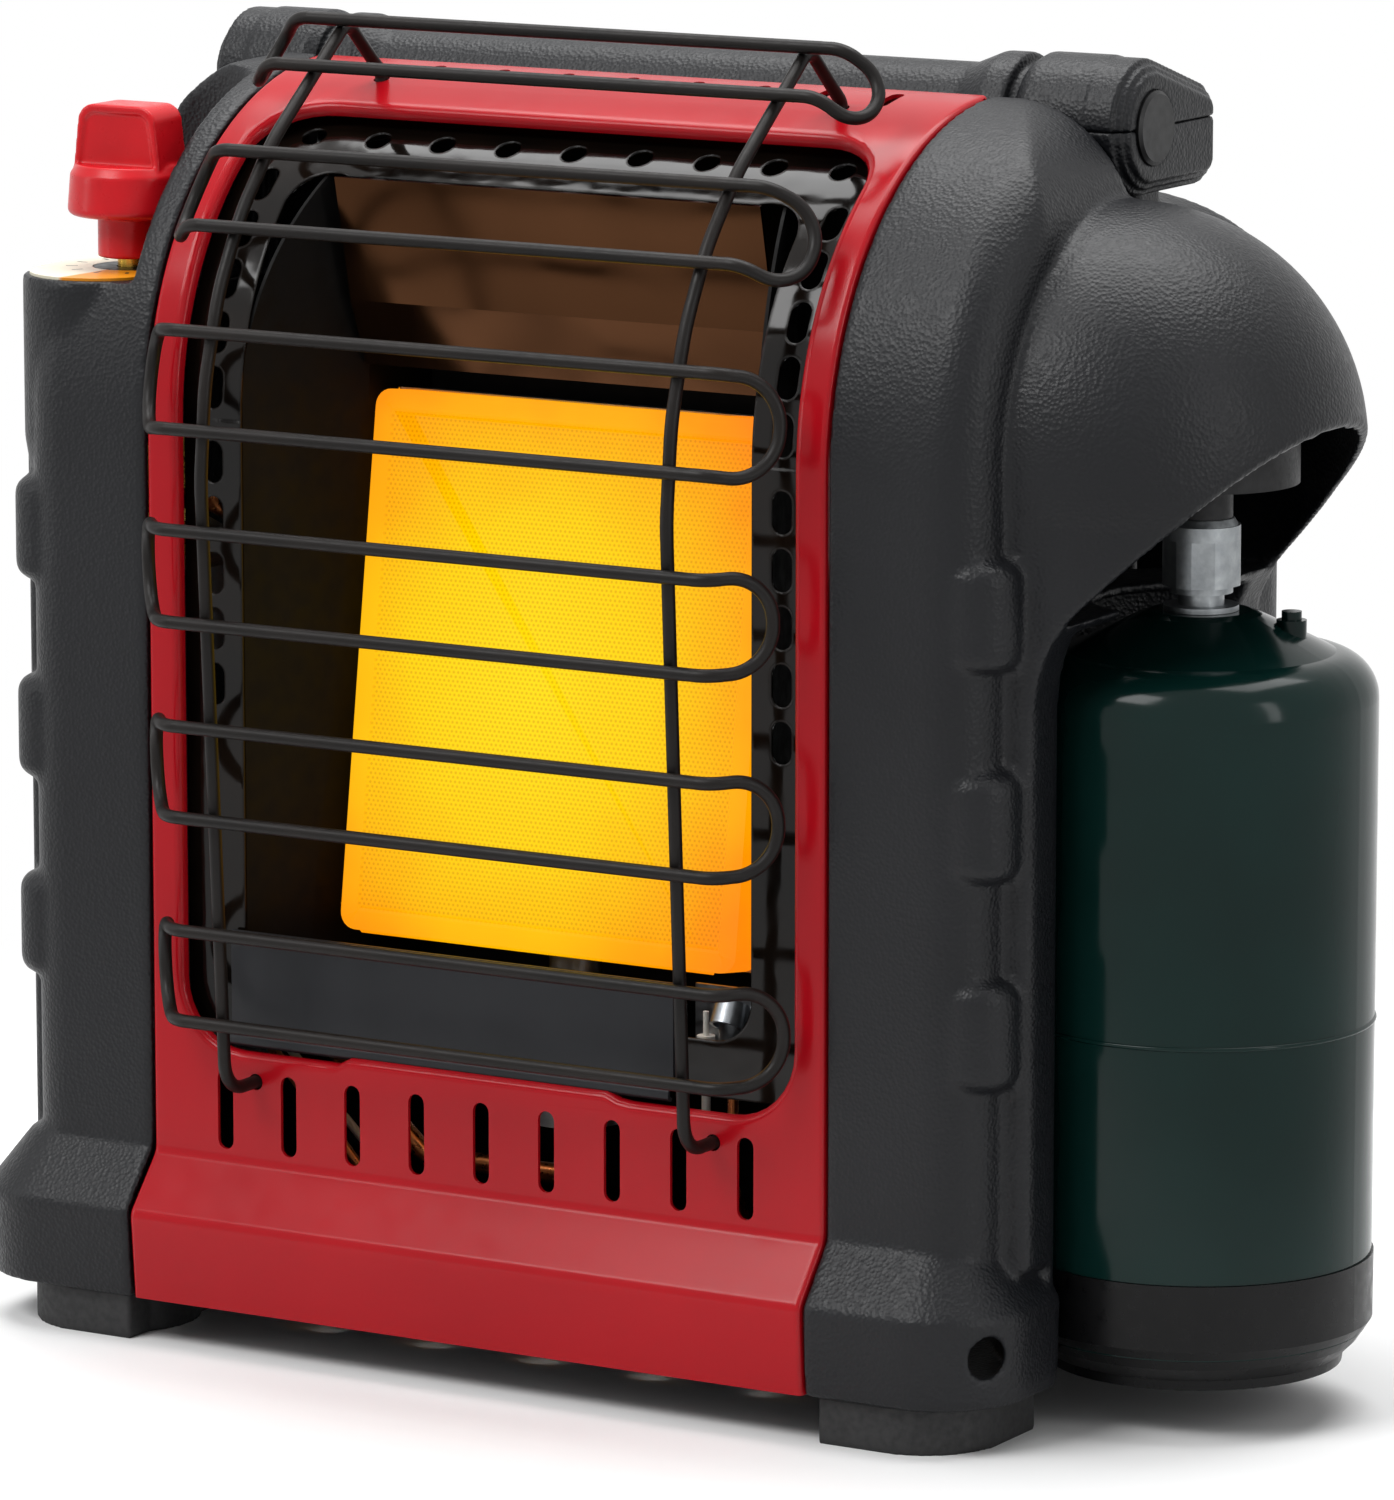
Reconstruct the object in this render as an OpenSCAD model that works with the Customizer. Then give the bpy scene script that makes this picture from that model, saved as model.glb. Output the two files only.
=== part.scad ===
// Portable propane heater: a radiant ceramic burner behind a wire guard, between two moulded
// side casings, with a screw-on gas cylinder hung under a hood on the right.
// Built about the middle of the front panel: X across, Y from the panel face backwards,
// Z up from the floor. place() then moves the whole to the middle of its own box.

/* [Body] */
// Width of the sheet metal front panel
panel_w = 223; // [210:1:235]
// Radius of the arch over the front
arch_r = 96; // [92:1:98]
// Height of the top of the arch above the floor
top_z = 364; // [362:1:366]
// Depth of the side casings behind the panel face
body_d = 182; // [180:1:186]
// Half width of the narrow front column of each casing
column_x = 158; // [157:0.5:160]
// Half width of the wide shell behind the column
shell_x = 166; // [165:0.5:168]
// Wall of the moulded casings
wall = 3; // [2.5:0.5:3]
// Thickness of the sheet metal
sheet = 1.2; // [1:0.1:1.2]

/* [Base] */
// How far the foot of the body flares out
flare = 13.5; // [11:0.5:14]
// Height of the bend where the flare starts
bend_z = 55; // [54:1:57]
// Height of the widest line of the flare
crest_z = 39; // [37:1:41]
// Height of the underside of the casings
under_z = 13.5; // [13:0.5:14]

/* [Guard] */
// Diameter of the guard wire
wire_d = 3.8; // [3.4:0.1:4]
// Distance between the two long wires of a loop
loop_gap = 26.5; // [25:0.5:28]
// Half length of the straight part of a loop
loop_x = 90; // [88:1:92]

/* [Burner] */
// Width of the ceramic tile
tile_w = 132; // [126:1:132]
// Height of the ceramic tile
tile_h = 156; // [150:1:158]
// Lean of the burner from the vertical
tile_lean = 8; // [7:0.5:9]

/* [Gas cylinder] */
// Diameter of the cylinder
cyl_d = 99; // [98:0.5:99]
// Sideways place of its axis
cyl_x = 183; // [182:0.5:184]
// Place of its axis behind the panel face
cyl_y = 84; // [83:0.5:85]
// Outward swing of the regulator and cylinder, degrees
swing = 0; // [0:1:24]

/* [Controls] */
// Sideways place of the knob axis
knob_x = -141; // [-142:0.5:-140.5]
// Place of the knob axis behind the panel face
knob_y = 37; // [36:0.5:38]
// Height of the deck under the knob
deck_z = 305; // [303:0.5:306]
// Turn of the knob, degrees
knob_turn = 0; // [0:5:180]
// Opening of the handle, degrees
handle_lift = 0; // [0:5:95]

/* [Hidden] */
$fn = 64;

casing_colour = "#2e3033";
panel_colour = "#b01e28";
knob_colour = "#d9101f";
guard_colour = "#2c2a29";

side_x = panel_w / 2 + 0.3;            // inner edge of a casing
arch_z = top_z - arch_r;               // height of the centre of the arch
step_y = arch_r - 3.6;                  // where the top steps down for the handle
step_z = top_z - 30.5;                 // floor of that step
shell_y = 17;                          // front face of the wide shell
shell_r = arch_r - shell_y;            // its arch
rear_r = 34;                           // rounding of the rear top
rear_shoulder = 52;                    // rounding of its outer shoulder
shell_corner = 3.6;                    // front corner of the shell
column_r = 16;                         // rounded front corner of the column
hood_r = 68;                           // ball of the regulator hood
hood_z = 270;                          // height of its centre
niche_r = cyl_d / 2 + 3.5;             // hollow that the cylinder stands in
niche_top = 226;                       // roof of that hollow
opening_x = 101;                       // half width of the radiant opening
opening_z = 87;                        // its sill
opening_top = 61;                      // its head, as an angle round the arch
tile_y = 29;                           // front of the tile at its foot
tile_z = 120;                          // foot of the tile
tile_t = 13;                           // thickness of the tile
pocket_x = 121;                        // side wall of the knob pocket
grip_y = 113;                          // axis of the handle grip
grip_z = 355;
pivot_y = 141;                         // axis that the handle folds about
pivot_z = 351;
pin_r = 3;
handle_x = 152;                        // half length of the handle
swivel_x = 150;                        // axis that the regulator swings about
swivel_z = 270;
base_out = column_x + 16;              // half width of the flared base
base_rear = body_d - 4;                // rear of the flared base
foot_h = under_z;

// side path of a guard upright, from its foot in the panel to its end in the top
upright_foot_z = 79;
upright_end_y = 70;
upright_path = [[3, upright_foot_z], [-15.4, upright_foot_z], [-24.9, 256], [-22.3, 283], [-15, 308],
    [-3.5, 329], [13, 348], [52, 378.5], [upright_end_y, 362], [upright_end_y, 355]];
upright_bends = [0, 9, 60, 60, 60, 60, 60, 5, 4, 0];
apex = 7;
// where the upright is at height z, and the outward direction there
function leg(z) = [for (i = [1:apex - 1]) if (upright_path[i][1] <= z && z < upright_path[i + 1][1]) i][0];
function on_upright(z) = let (i = leg(z), a = upright_path[i], b = upright_path[i + 1])
    a + (b - a) * (z - a[1]) / (b[1] - a[1]);
function outward(z) = let (i = leg(z), d = upright_path[i + 1] - upright_path[i]) [-d[1], d[0]] / norm(d);
function bar_at(z) = on_upright(z) + outward(z) * (wire_d + 0.06);

// the box of the whole part, whose middle is the origin
box_left = -base_out;
box_right = cyl_x + cyl_d / 2 + 0.6;
box_front = bar_at(215.5 + loop_gap)[0] - wire_d / 2;
box_rear = body_d;

module place() translate([-(box_left + box_right) / 2, -(box_front + box_rear) / 2, 0])
    children();
module both_sides() { children(); mirror([1, 0, 0]) children(); }
// a drawing in (y, z) made solid from x0 to x1
module across(x0, x1) translate([x0, 0, 0]) rotate([90, 0, 90])
    linear_extrude(x1 - x0) children();
// a drawing in (x, z) made solid from y0 to y1
module deep(y0, y1) translate([0, y1, 0]) rotate([90, 0, 0]) linear_extrude(y1 - y0) children();
module rod_x(x0, x1, y, z, r) translate([x0, y, z]) rotate([0, 90, 0]) cylinder(h = x1 - x0, r = r);
module rod_y(x, y0, y1, z, r) translate([x, y0, z]) rotate([-90, 0, 0]) cylinder(h = y1 - y0, r = r);
module block(x0, x1, y0, y1, z0, z1) translate([x0, y0, z0]) cube([x1 - x0, y1 - y0, z1 - z0]);
module slot2d(w, h) {
    translate([0, (h - w) / 2]) circle(d = w);
    translate([0, -(h - w) / 2]) circle(d = w);
    translate([-w / 2, -(h - w) / 2]) square([w, h - w]);
}

// ---------------------------------------------------------------- casings
// plan of a casing block from x0 to x1 and y0 to y1, with its outer corners rounded
module plan(x0, x1, y0, y1, front_r, rear_corner) {
    translate([x0, y0 + front_r]) square([x1 - x0, y1 - y0 - front_r - rear_corner]);
    translate([x0, y0]) square([x1 - x0 - front_r, front_r + 1]);
    translate([x0, y1 - rear_corner - 1]) square([x1 - x0 - rear_corner, rear_corner + 1]);
    translate([x1 - front_r, y0 + front_r]) circle(front_r);
    translate([x1 - rear_corner, y1 - rear_corner]) circle(rear_corner);
}
// half plan turned about the axis of the arch
module arch_turned(x0, x1, r, corner) translate([0, arch_r, arch_z]) rotate([0, 90, 0])
    rotate_extrude($fn = 128) {
        translate([0, x0]) square([r, x1 - x0 - corner]);
        translate([0, x0]) square([r - corner, x1 - x0]);
        translate([r - corner, x1 - corner]) circle(corner);
    }
// front view that rounds the shoulders of the arched front half
module front_view(t) {
    shoulder = 40;
    square([shell_x - t, arch_z + 20]);
    square([column_x - shoulder, top_z - t]);
    translate([column_x - shoulder, top_z - shoulder]) circle(shoulder - t, $fn = 128);
    translate([shell_x - 30, arch_z + 20]) circle(30 - t, $fn = 128);
    square([column_x - t, top_z - shoulder]);
}
// front view that rounds the lower rear half
module rear_view(t) {
    square([shell_x - t, step_z - rear_shoulder]);
    square([shell_x - rear_shoulder, step_z - t]);
    translate([shell_x - rear_shoulder, step_z - rear_shoulder]) circle(rear_shoulder - t, $fn = 128);
}
// the casing as a solid, t inside its true surface
module casing_body(t) {
    translate([0, 0, bend_z - 6]) linear_extrude(arch_z - bend_z + 6) {
        plan(side_x - 20, column_x - t, t, body_d - 20, column_r - t, 2);
        plan(side_x - 20, shell_x - t, shell_y + t, body_d - t, shell_corner - t, 24 - t);
    }
    intersection() {
        union() {
            arch_turned(side_x - 20, column_x - t, arch_r - t, column_r - t);
            arch_turned(side_x - 20, shell_x - t, shell_r - t, shell_corner - t);
        }
        block(0, 200, 0, step_y - t, arch_z, 400);
        deep(-40, 300) front_view(t);
    }
    // the low rear half, behind the step that holds the handle
    intersection() {
        across(side_x - 20, shell_x) {
            translate([step_y - t - 5, arch_z - 10])
                square([body_d - rear_r - step_y + 5 + t, step_z - t - arch_z + 10]);
            translate([body_d - rear_r, step_z - rear_r]) circle(rear_r - t);
            translate([body_d - rear_r - 5, arch_z - 10])
                square([rear_r + 5 - t, step_z - rear_r - arch_z + 10]);
        }
        translate([0, 0, arch_z - 20]) linear_extrude(200)
            plan(side_x - 20, shell_x - t, 40, body_d - t, 5 - t, 24 - t);
        deep(0, 300) rear_view(t);
    }
}
// the flared base: flat sides and turned corners with one profile
module flare_profile(t) polygon([[-6, under_z + t], [14.5 - t, under_z + t], [16 - t, crest_z],
    [16 - t - flare, bend_z + 1], [-6, bend_z + 1]]);
module casing_base(t, out) {
    cx = out - 28;
    y0 = 28 - flare;
    y1 = base_rear - 28;
    for (y = [y0, y1]) translate([cx, y, 0]) rotate_extrude() {
        translate([0, under_z + t]) square([7, bend_z + 1 - under_z - t]);
        translate([12, 0]) flare_profile(t);
    }
    across(side_x - 20, cx) {
        translate([y0 - 12, 0]) mirror([1, 0]) flare_profile(t);
        translate([y1 + 12, 0]) flare_profile(t);
        translate([y0 - 7, under_z + t]) square([y1 - y0 + 14, bend_z + 1 - under_z - t]);
    }
    deep(y0, y1) {
        translate([cx + 12, 0]) flare_profile(t);
        translate([side_x - 20, under_z + t]) square([cx - side_x + 27, bend_z + 1 - under_z - t]);
    }
}
// three knuckles that stand out of the finger recess at the corner
module knuckle(t) rotate_extrude() {
    translate([0, -15 + t]) square([7, 30 - 2 * t]);
    translate([0, -10]) square([12 - t, 20]);
    for (s = [-1, 1]) translate([7, s * 10]) circle(5 - t);
}
module knuckles(t) for (i = [0:2]) translate([column_x - 6, 13.6, 116 + 58 * i]) knuckle(t);
module casing_solid(t, out) {
    casing_body(t);
    knuckles(t);
    casing_base(t, out);
}
// ear that carries the handle pin
module handle_ear() difference() {
    union() {
        rod_x(side_x + 12, side_x + 24, pivot_y, pivot_z, 7.5);
        block(side_x + 12, side_x + 24, pivot_y - 7.5, pivot_y + 7.5, step_z - 8, pivot_z);
    }
    rod_x(side_x, side_x + 40, pivot_y, pivot_z, pin_r);
}
screw_z = [80, 200, 290];
module casing_shell(out) {
    difference() {
        casing_solid(0, out);
        casing_solid(wall, out);
        // the side towards the panels is open
        block(side_x - 30, side_x, -40, 300, 0, 400);
        // drain hole through the corner of the base
        translate([out - 28 + 14, 28 - flare - 7, 28.5]) rotate([0, 0, -40]) rotate([0, 90, 0])
            cylinder(h = 30, d = 11.5);
        // driver holes for the casing screws
        for (z = screw_z) rod_y(side_x + 9, body_d - 10, body_d + 5, z, 3.4);
    }
    handle_ear();
    for (z = screw_z) difference() {
        intersection() {
            rod_y(side_x + 9, 150, body_d - 1, z, 6);
            casing_body(1);
        }
        rod_y(side_x + 9, 140, body_d + 5, z, 1.6);
        rod_y(side_x + 9, body_d - 10, body_d + 5, z, 3.4);
    }
}
// side view of the space under the hood, cut along its slanted rim
module rim_view() {
    translate([shell_x + 40, 205]) circle(40);
    polygon([[shell_x + 11.7, 233.3], [300, 355], [300, bend_z + 1.2], [shell_x, bend_z + 1.2],
        [shell_x, 205], [shell_x + 40, 205]]);
}
module hood_outer(t) {
    translate([column_x, cyl_y, hood_z]) sphere(hood_r - t, $fn = 96);
    translate([column_x, cyl_y, 200]) cylinder(h = hood_z - 200, r = hood_r - 1.5 - t, $fn = 96);
}
right_out = shell_x + 2.5;             // half width of the base under the cylinder
module right_casing() color(casing_colour) place() difference() {
    union() {
        casing_shell(right_out);
        // the hood
        intersection() {
            hood_outer(0);
            block(column_x - 8, 260, 0, 170, 205, 400);
        }
        // wall round the cylinder and its roof
        intersection() {
            translate([cyl_x, cyl_y, under_z])
                cylinder(h = niche_top + wall - under_z, r = niche_r + wall, $fn = 96);
            block(side_x, shell_x, shell_y + 2, body_d - 10, under_z, 300);
        }
        // and through the base
        intersection() {
            translate([cyl_x, cyl_y, under_z]) cylinder(h = bend_z, r = niche_r + wall, $fn = 96);
            casing_base(0, right_out);
        }
    }
    // hollow of the hood
    intersection() {
        hood_outer(wall);
        block(column_x - 35, 260, 0, 170, niche_top + wall, 400);
    }
    // hollow for the cylinder
    translate([cyl_x, cyl_y, -1]) cylinder(h = niche_top + 1, r = niche_r, $fn = 96);
    // neck hole through the roof of that hollow
    translate([cyl_x, cyl_y, 200]) cylinder(h = 60, r = 30);
    block(cyl_x - 10, 300, cyl_y - 30, cyl_y + 30, 200, 262);
    deep(-60, 300) rim_view();
}
turret_x = 143.6;                      // axis and radius of the drum under the knob deck
turret_y = 24.4;
turret_r = 22;
// upright drum that carries the knob deck, wider than the column under it
module turret(t) {
    translate([0, 0, 258]) linear_extrude(deck_z - t - 258) {
        translate([turret_x, turret_y]) circle(turret_r - t);
        translate([turret_x, turret_y]) square([shell_x - turret_x - t, 50]);
    }
    // it runs out into the column below
    translate([turret_x, turret_y, 204]) cylinder(h = 54.1, r1 = turret_r - t - 8.6, r2 = turret_r - t);
}
module left_casing() color(casing_colour) place() mirror([1, 0, 0]) difference() {
    union() {
        casing_shell(base_out);
        difference() {
            turret(0);
            turret(wall);
            casing_body(wall);
        }
        // walls of the knob pocket
        intersection() {
            casing_body(0.5);
            union() {
                translate([-knob_x, knob_y, deck_z - wall]) difference() {
                    cylinder(h = 80, r = 38 + wall);
                    translate([0, 0, wall]) cylinder(h = 80, r = 38);
                }
                block(pocket_x - wall, pocket_x, 0, 80, deck_z - wall, 400);
            }
        }
    }
    // the pocket that the knob stands in
    intersection() {
        translate([-knob_x, knob_y, deck_z]) cylinder(h = 100, r = 38);
        block(pocket_x, 260, -20, 100, deck_z, 400);
    }
    // hole of the gland
    translate([-knob_x, knob_y, deck_z - 30]) cylinder(h = 60, r = 8.5);
    block(side_x - 40, side_x, -40, 300, 0, 400);
}

// ---------------------------------------------------------------- sheet metal
// side view of the body, t inside the panel face
module side_view(t) {
    polygon([[-flare + 2 + t, under_z - 1], [-flare + t, crest_z], [t, bend_z + t * 0.35], [t, arch_z],
        [arch_r, arch_z], [arch_r, under_z - 1]]);
    translate([arch_r, arch_z]) circle(arch_r - t, $fn = 128);
}
module skin(t0, t1, x) intersection() {
    difference() {
        across(-x, x) side_view(t0);
        across(-x - 1, x + 1) side_view(t1);
    }
    block(-x, x, -40, step_y - 1.5, under_z - 1, 400);
}
// a solid that cuts a window through the panel, grown by g
module window(half_x, sill, head, corner, g) {
    x = half_x + g;
    deep(-30, 60) {
        translate([-x, sill - g + corner]) square([2 * x, arch_z - sill + g - corner + 0.1]);
        translate([-x + corner, sill - g]) square([2 * (x - corner), corner + 1]);
        for (s = [-1, 1]) translate([s * (x - corner), sill - g + corner]) circle(corner);
    }
    turn = corner / arch_r * 180 / PI;
    grow = g / arch_r * 180 / PI;
    translate([0, arch_r, arch_z]) {
        across(-x, x) wedge2d(0, head + grow - turn);
        across(-x + corner, x - corner) wedge2d(0, head + grow);
        for (s = [-1, 1]) rotate([-(head + grow - turn), 0, 0]) translate([s * (x - corner), 0, 0])
            rotate([90, 0, 0]) cylinder(h = 130, r = corner);
    }
}
// a fan of directions from one angle to another, to cut round the arch
function round_arch(a) = [-cos(a), sin(a)];
module wedge2d(a0, a1) polygon(concat([[0, 0]], [for (i = [0:8]) 200 * round_arch(a0 + (a1 - a0) * i / 8)]));
vent_n = 9;
vent_pitch = 21.6;
module front_panel() color(panel_colour) place() {
    difference() {
        skin(0, sheet, panel_w / 2);
        window(opening_x, opening_z, opening_top, 20, 0);
        // air slots below the opening
        for (i = [0:vent_n - 1]) translate([(i - (vent_n - 1) / 2) * vent_pitch, 0, 69.5])
            deep(-5, 10) slot2d(5, 23);
        // vents through the flat top
        for (i = [0:vent_n - 1]) translate([(i - (vent_n - 1) / 2) * vent_pitch, 79, 350])
            linear_extrude(30) slot2d(4, 15);
        // notches and holes that the ends of the guard uprights sit in
        for (s = [-1, 1]) {
            rod_y(s * 76, -10, 10, upright_foot_z, wire_d / 2 + 0.3);
            block(s * 76 - wire_d / 2 - 0.3, s * 76 + wire_d / 2 + 0.3, -10, 10, upright_foot_z, opening_z + 5);
            translate([s * 76, upright_end_y, 340]) cylinder(h = 40, r = wire_d / 2 + 0.3);
        }
    }
    // edge of the opening, rolled inwards
    intersection() {
        skin(sheet - 0.05, 6, opening_x + 5);
        difference() {
            window(opening_x, opening_z, opening_top, 20, sheet);
            window(opening_x, opening_z, opening_top, 20, 0);
        }
    }
    // raised lip along the middle of the sill, with a rolled top
    block(-47, 44, 0.02, sheet - 0.02, opening_z - 3, opening_z + 2.5);
    rod_x(-47, 44, 2.1, opening_z + 2, 2.08);
    // lip folded down at the rear of the top
    block(-panel_w / 2, panel_w / 2, step_y - 1.5 - sheet, step_y - 1.5, top_z - 12, top_z - 0.6);
}
back_path = [[step_y + 0.2, top_z - 14], [step_y + 0.2, step_z - 2], [146, step_z - 2],
    [body_d - 8, step_z - 32], [body_d - 8, under_z + 4]];
back_screw_z = [40, 150, 280];
module back_panel() color("#1f1f20") place() difference() {
    across(-panel_w / 2, panel_w / 2) folded_sheet(back_path, sheet);
    // air louvres
    for (i = [0:5], s = [-1, 0, 1]) translate([s * 66, 0, 70 + 34 * i]) deep(150, 200)
        translate([-24, 0]) square([48, 5]);
    for (s = [-1, 1], z = back_screw_z) rod_y(s * (panel_w / 2 - 8), body_d - 20, body_d, z, 1.5);
}
// a sheet of thickness t folded along a row of points
function unit(v) = v / norm(v);
function mitre(p, t) = [for (i = [0:len(p) - 1])
    let (d0 = i == 0 ? unit(p[1] - p[0]) : unit(p[i] - p[i - 1]),
        d1 = i == len(p) - 1 ? d0 : unit(p[i + 1] - p[i]),
        n = unit([-d0[1] - d1[1], d0[0] + d1[0]]))
    p[i] + n * t / 2 / (n * [-d0[1], d0[0]])];
module folded_sheet(p, t) {
    other = mitre(p, -t);
    polygon(concat(mitre(p, t), [for (i = [len(p) - 1:-1:0]) other[i]]));
}
module base_pan() color("#2b2b2d") place() difference() {
    union() {
        block(-panel_w / 2 + 1, panel_w / 2 - 1, -flare + 4, body_d - 10, under_z + 0.5, under_z + 0.5 + sheet);
        block(-panel_w / 2 + 1, panel_w / 2 - 1, body_d - 10, body_d - 10 + sheet, under_z + 0.5, under_z + 18);
    }
    for (x = [-70:35:70], y = [30, 60, 100, 130]) translate([x, y, 0]) cylinder(h = 40, d = 8);
}
module foot(front) {
    y0 = front ? -flare + 5 : base_rear - 48;
    y1 = front ? 36 : base_rear - 5;
    r = 24;
    difference() {
        linear_extrude(foot_h - 0.02) {
            translate([side_x + 3, y0]) square([44 - r, y1 - y0]);
            translate([side_x + 3, front ? y0 + r : y0]) square([44, y1 - y0 - r]);
            translate([side_x + 47 - r, front ? y0 + r : y1 - r]) circle(r);
        }
        translate([side_x + 22, (y0 + y1) / 2, -1]) cylinder(h = 7, d = 12);
    }
}
foot_colour = "#1c1c1d";
module foot_front_left() color(foot_colour) place() mirror([1, 0, 0]) foot(true);
module foot_front_right() color(foot_colour) place() foot(true);
module foot_rear_left() color(foot_colour) place() mirror([1, 0, 0]) foot(false);
module foot_rear_right() color(foot_colour) place() foot(false);

// ---------------------------------------------------------------- controls
module deck_dial() color("#e5dfc8") place() difference() {
    translate([0, 0, deck_z + 0.02]) linear_extrude(0.8) intersection() {
        mirror([1, 0]) {
            translate([turret_x, turret_y]) circle(turret_r - 2);
            translate([pocket_x + 0.4, turret_y]) square([shell_x - 2 - pocket_x - 0.4, 60]);
        }
        translate([knob_x, knob_y]) circle(37.4);
        translate([-260, 0]) square([260 - pocket_x - 0.4, 100]);
    }
    translate([knob_x, knob_y, deck_z - 1]) cylinder(h = 5, r = 11.3);
}
module knob_gland() color("#1d1d1f") place() translate([knob_x, knob_y, 0]) difference() {
    union() {
        translate([0, 0, deck_z + 0.02]) cylinder(h = 0.8, r = 11);
        translate([0, 0, deck_z - 9]) cylinder(h = 9.1, r = 8.4);
    }
    translate([0, 0, deck_z - 20]) cylinder(h = 40, r = 4.4);
}
module rounded_bar2d(w0, w1, h, r) {
    polygon([[-w0, 0], [w0, 0], [w1, h - r], [w1 - r, h], [-w1 + r, h], [-w1, h - r]]);
    for (s = [-1, 1]) translate([s * (w1 - r), h - r]) circle(r);
}
knob_base = deck_z + 3.7;
// neck, skirt and finger bar, which is sunk on both faces and stands over a flat of the skirt
module control_knob() color(knob_colour) place() translate([knob_x, knob_y, knob_base])
    rotate([0, 0, knob_turn]) difference() {
        union() {
            rotate_extrude() {
                square([9.6, 14]);
                translate([0, 12]) square([16, 14]);
                polygon([[0, 12.2], [16.2, 12.2], [18.2, 14.2], [17.4, 24.2], [15.6, 27], [0, 27]]);
                translate([16.2, 14.2]) circle(2);
            }
            translate([0, 0, 20]) deep(-7.4, 7.4) rounded_bar2d(15.6, 13.4, 24.2, 5.5);
        }
        // sunk faces of the finger bar
        for (s = [-1, 1]) translate([0, s * 7.7, 26.6]) deep(-1.2, 1.2) rounded_bar2d(13, 11.2, 15.2, 4);
        translate([0, 0, -1]) cylinder(h = 16, r = 4.05);
    }
module valve_stem() color("#b9a25a") place() translate([knob_x, knob_y, 0]) difference() {
    union() {
        translate([0, 0, 252]) cylinder(h = knob_base + 14 - 252, r = 4);
        // collar that presses the igniter arm
        translate([0, 0, 281.05]) cylinder(h = 3, r = 6.6);
    }
    block(2.6, 6, -6, 6, knob_base + 1, knob_base + 20);
}
piezo_x = knob_x - 13;
piezo_y = knob_y + 24;
module igniter_plunger() color("#d9d9d4") place() difference() {
    union() {
        translate([knob_x, knob_y, 274]) cylinder(h = 7, r = 7.6);
        translate([knob_x, knob_y, 274]) rotate([0, 0, atan2(24, -13)]) block(5, 31, -3.5, 3.5, 0, 4);
        // stud that works in the bore of the striker
        translate([piezo_x, piezo_y, 256.5]) cylinder(h = 18, r = 3.2);
    }
    translate([knob_x, knob_y, 260]) cylinder(h = 40, r = 4.3);
}
// points of a ring round a helix or any bent tube
function ring(c, u, v, r, n) = [for (k = [0:n - 1]) c + r * (cos(360 * k / n) * u + sin(360 * k / n) * v)];
// wraps a skin of triangles round a row of rings
module tube_skin(rings, n) {
    m = len(rings);
    polyhedron([for (q = rings) each q], concat(
        [for (i = [0:m - 2], k = [0:n - 1]) [i * n + k, (i + 1) * n + k, i * n + (k + 1) % n]],
        [for (i = [0:m - 2], k = [0:n - 1]) [(i + 1) * n + k, (i + 1) * n + (k + 1) % n, i * n + (k + 1) % n]],
        [[for (k = [0:n - 1]) k], [for (k = [n - 1:-1:0]) (m - 1) * n + k]]), convexity = 6);
}
spring_r = 6;
spring_wire = 1.1;
spring_turns = 3;
module stem_spring() color("#c9ccd0") place() translate([knob_x, knob_y, 265.2]) {
    steps = 10;
    lift = 274 - 265.2 - 2 * spring_wire / 2 - 0.6;
    tube_skin([for (i = [0:spring_turns * steps])
        let (a = 360 * i / steps, z = spring_wire / 2 + 0.3 + lift * i / spring_turns / steps)
        ring([spring_r * cos(a), spring_r * sin(a), z], [cos(a), sin(a), 0], [0, 0, 1], spring_wire / 2, 6)], 6);
}
module gas_valve() color("#b9b39a") place() difference() {
    union() {
        block(knob_x - 12, knob_x + 12, knob_y - 12, knob_y + 12, 221, 256);
        translate([knob_x, knob_y, 255.9]) cylinder(h = 9, r = 9);
        rod_y(knob_x, knob_y + 11.9, knob_y + 18, 232, 5.5);
        rod_x(knob_x + 11.9, knob_x + 18, knob_y - 4, 240, 5);
        rod_x(knob_x + 11.9, knob_x + 17, knob_y + 7, 228, 3.5);
    }
    translate([knob_x, knob_y, 246]) cylinder(h = 40, r = 4.1);
    rod_y(knob_x, knob_y + 10, knob_y + 20, 232, 3.05);
    rod_x(knob_x + 10, knob_x + 20, knob_y - 4, 240, 3.05);
    rod_x(knob_x + 10, knob_x + 20, knob_y + 7, 228, 1.8);
}
module valve_bracket() color("#9aa0a6") place() difference() {
    union() {
        block(knob_x - 15, -side_x + 1.5, knob_y - 14, piezo_y + 10, 219.4, 220.9);
        block(-side_x, -side_x + 1.5, knob_y - 14, piezo_y + 10, 196, 220.9);
    }
    for (y = [26, 56]) rod_x(-side_x - 4, -side_x + 5, y, 207, 2.1);
}
module piezo_igniter() color("#e9e6dc") place() difference() {
    union() {
        translate([piezo_x, piezo_y, 221]) cylinder(h = 46, r = 7.5);
        rod_y(piezo_x, piezo_y + 6, piezo_y + 12, 228, 2.2);
    }
    translate([piezo_x, piezo_y, 253]) cylinder(h = 20, r = 3.26);
}
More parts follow.
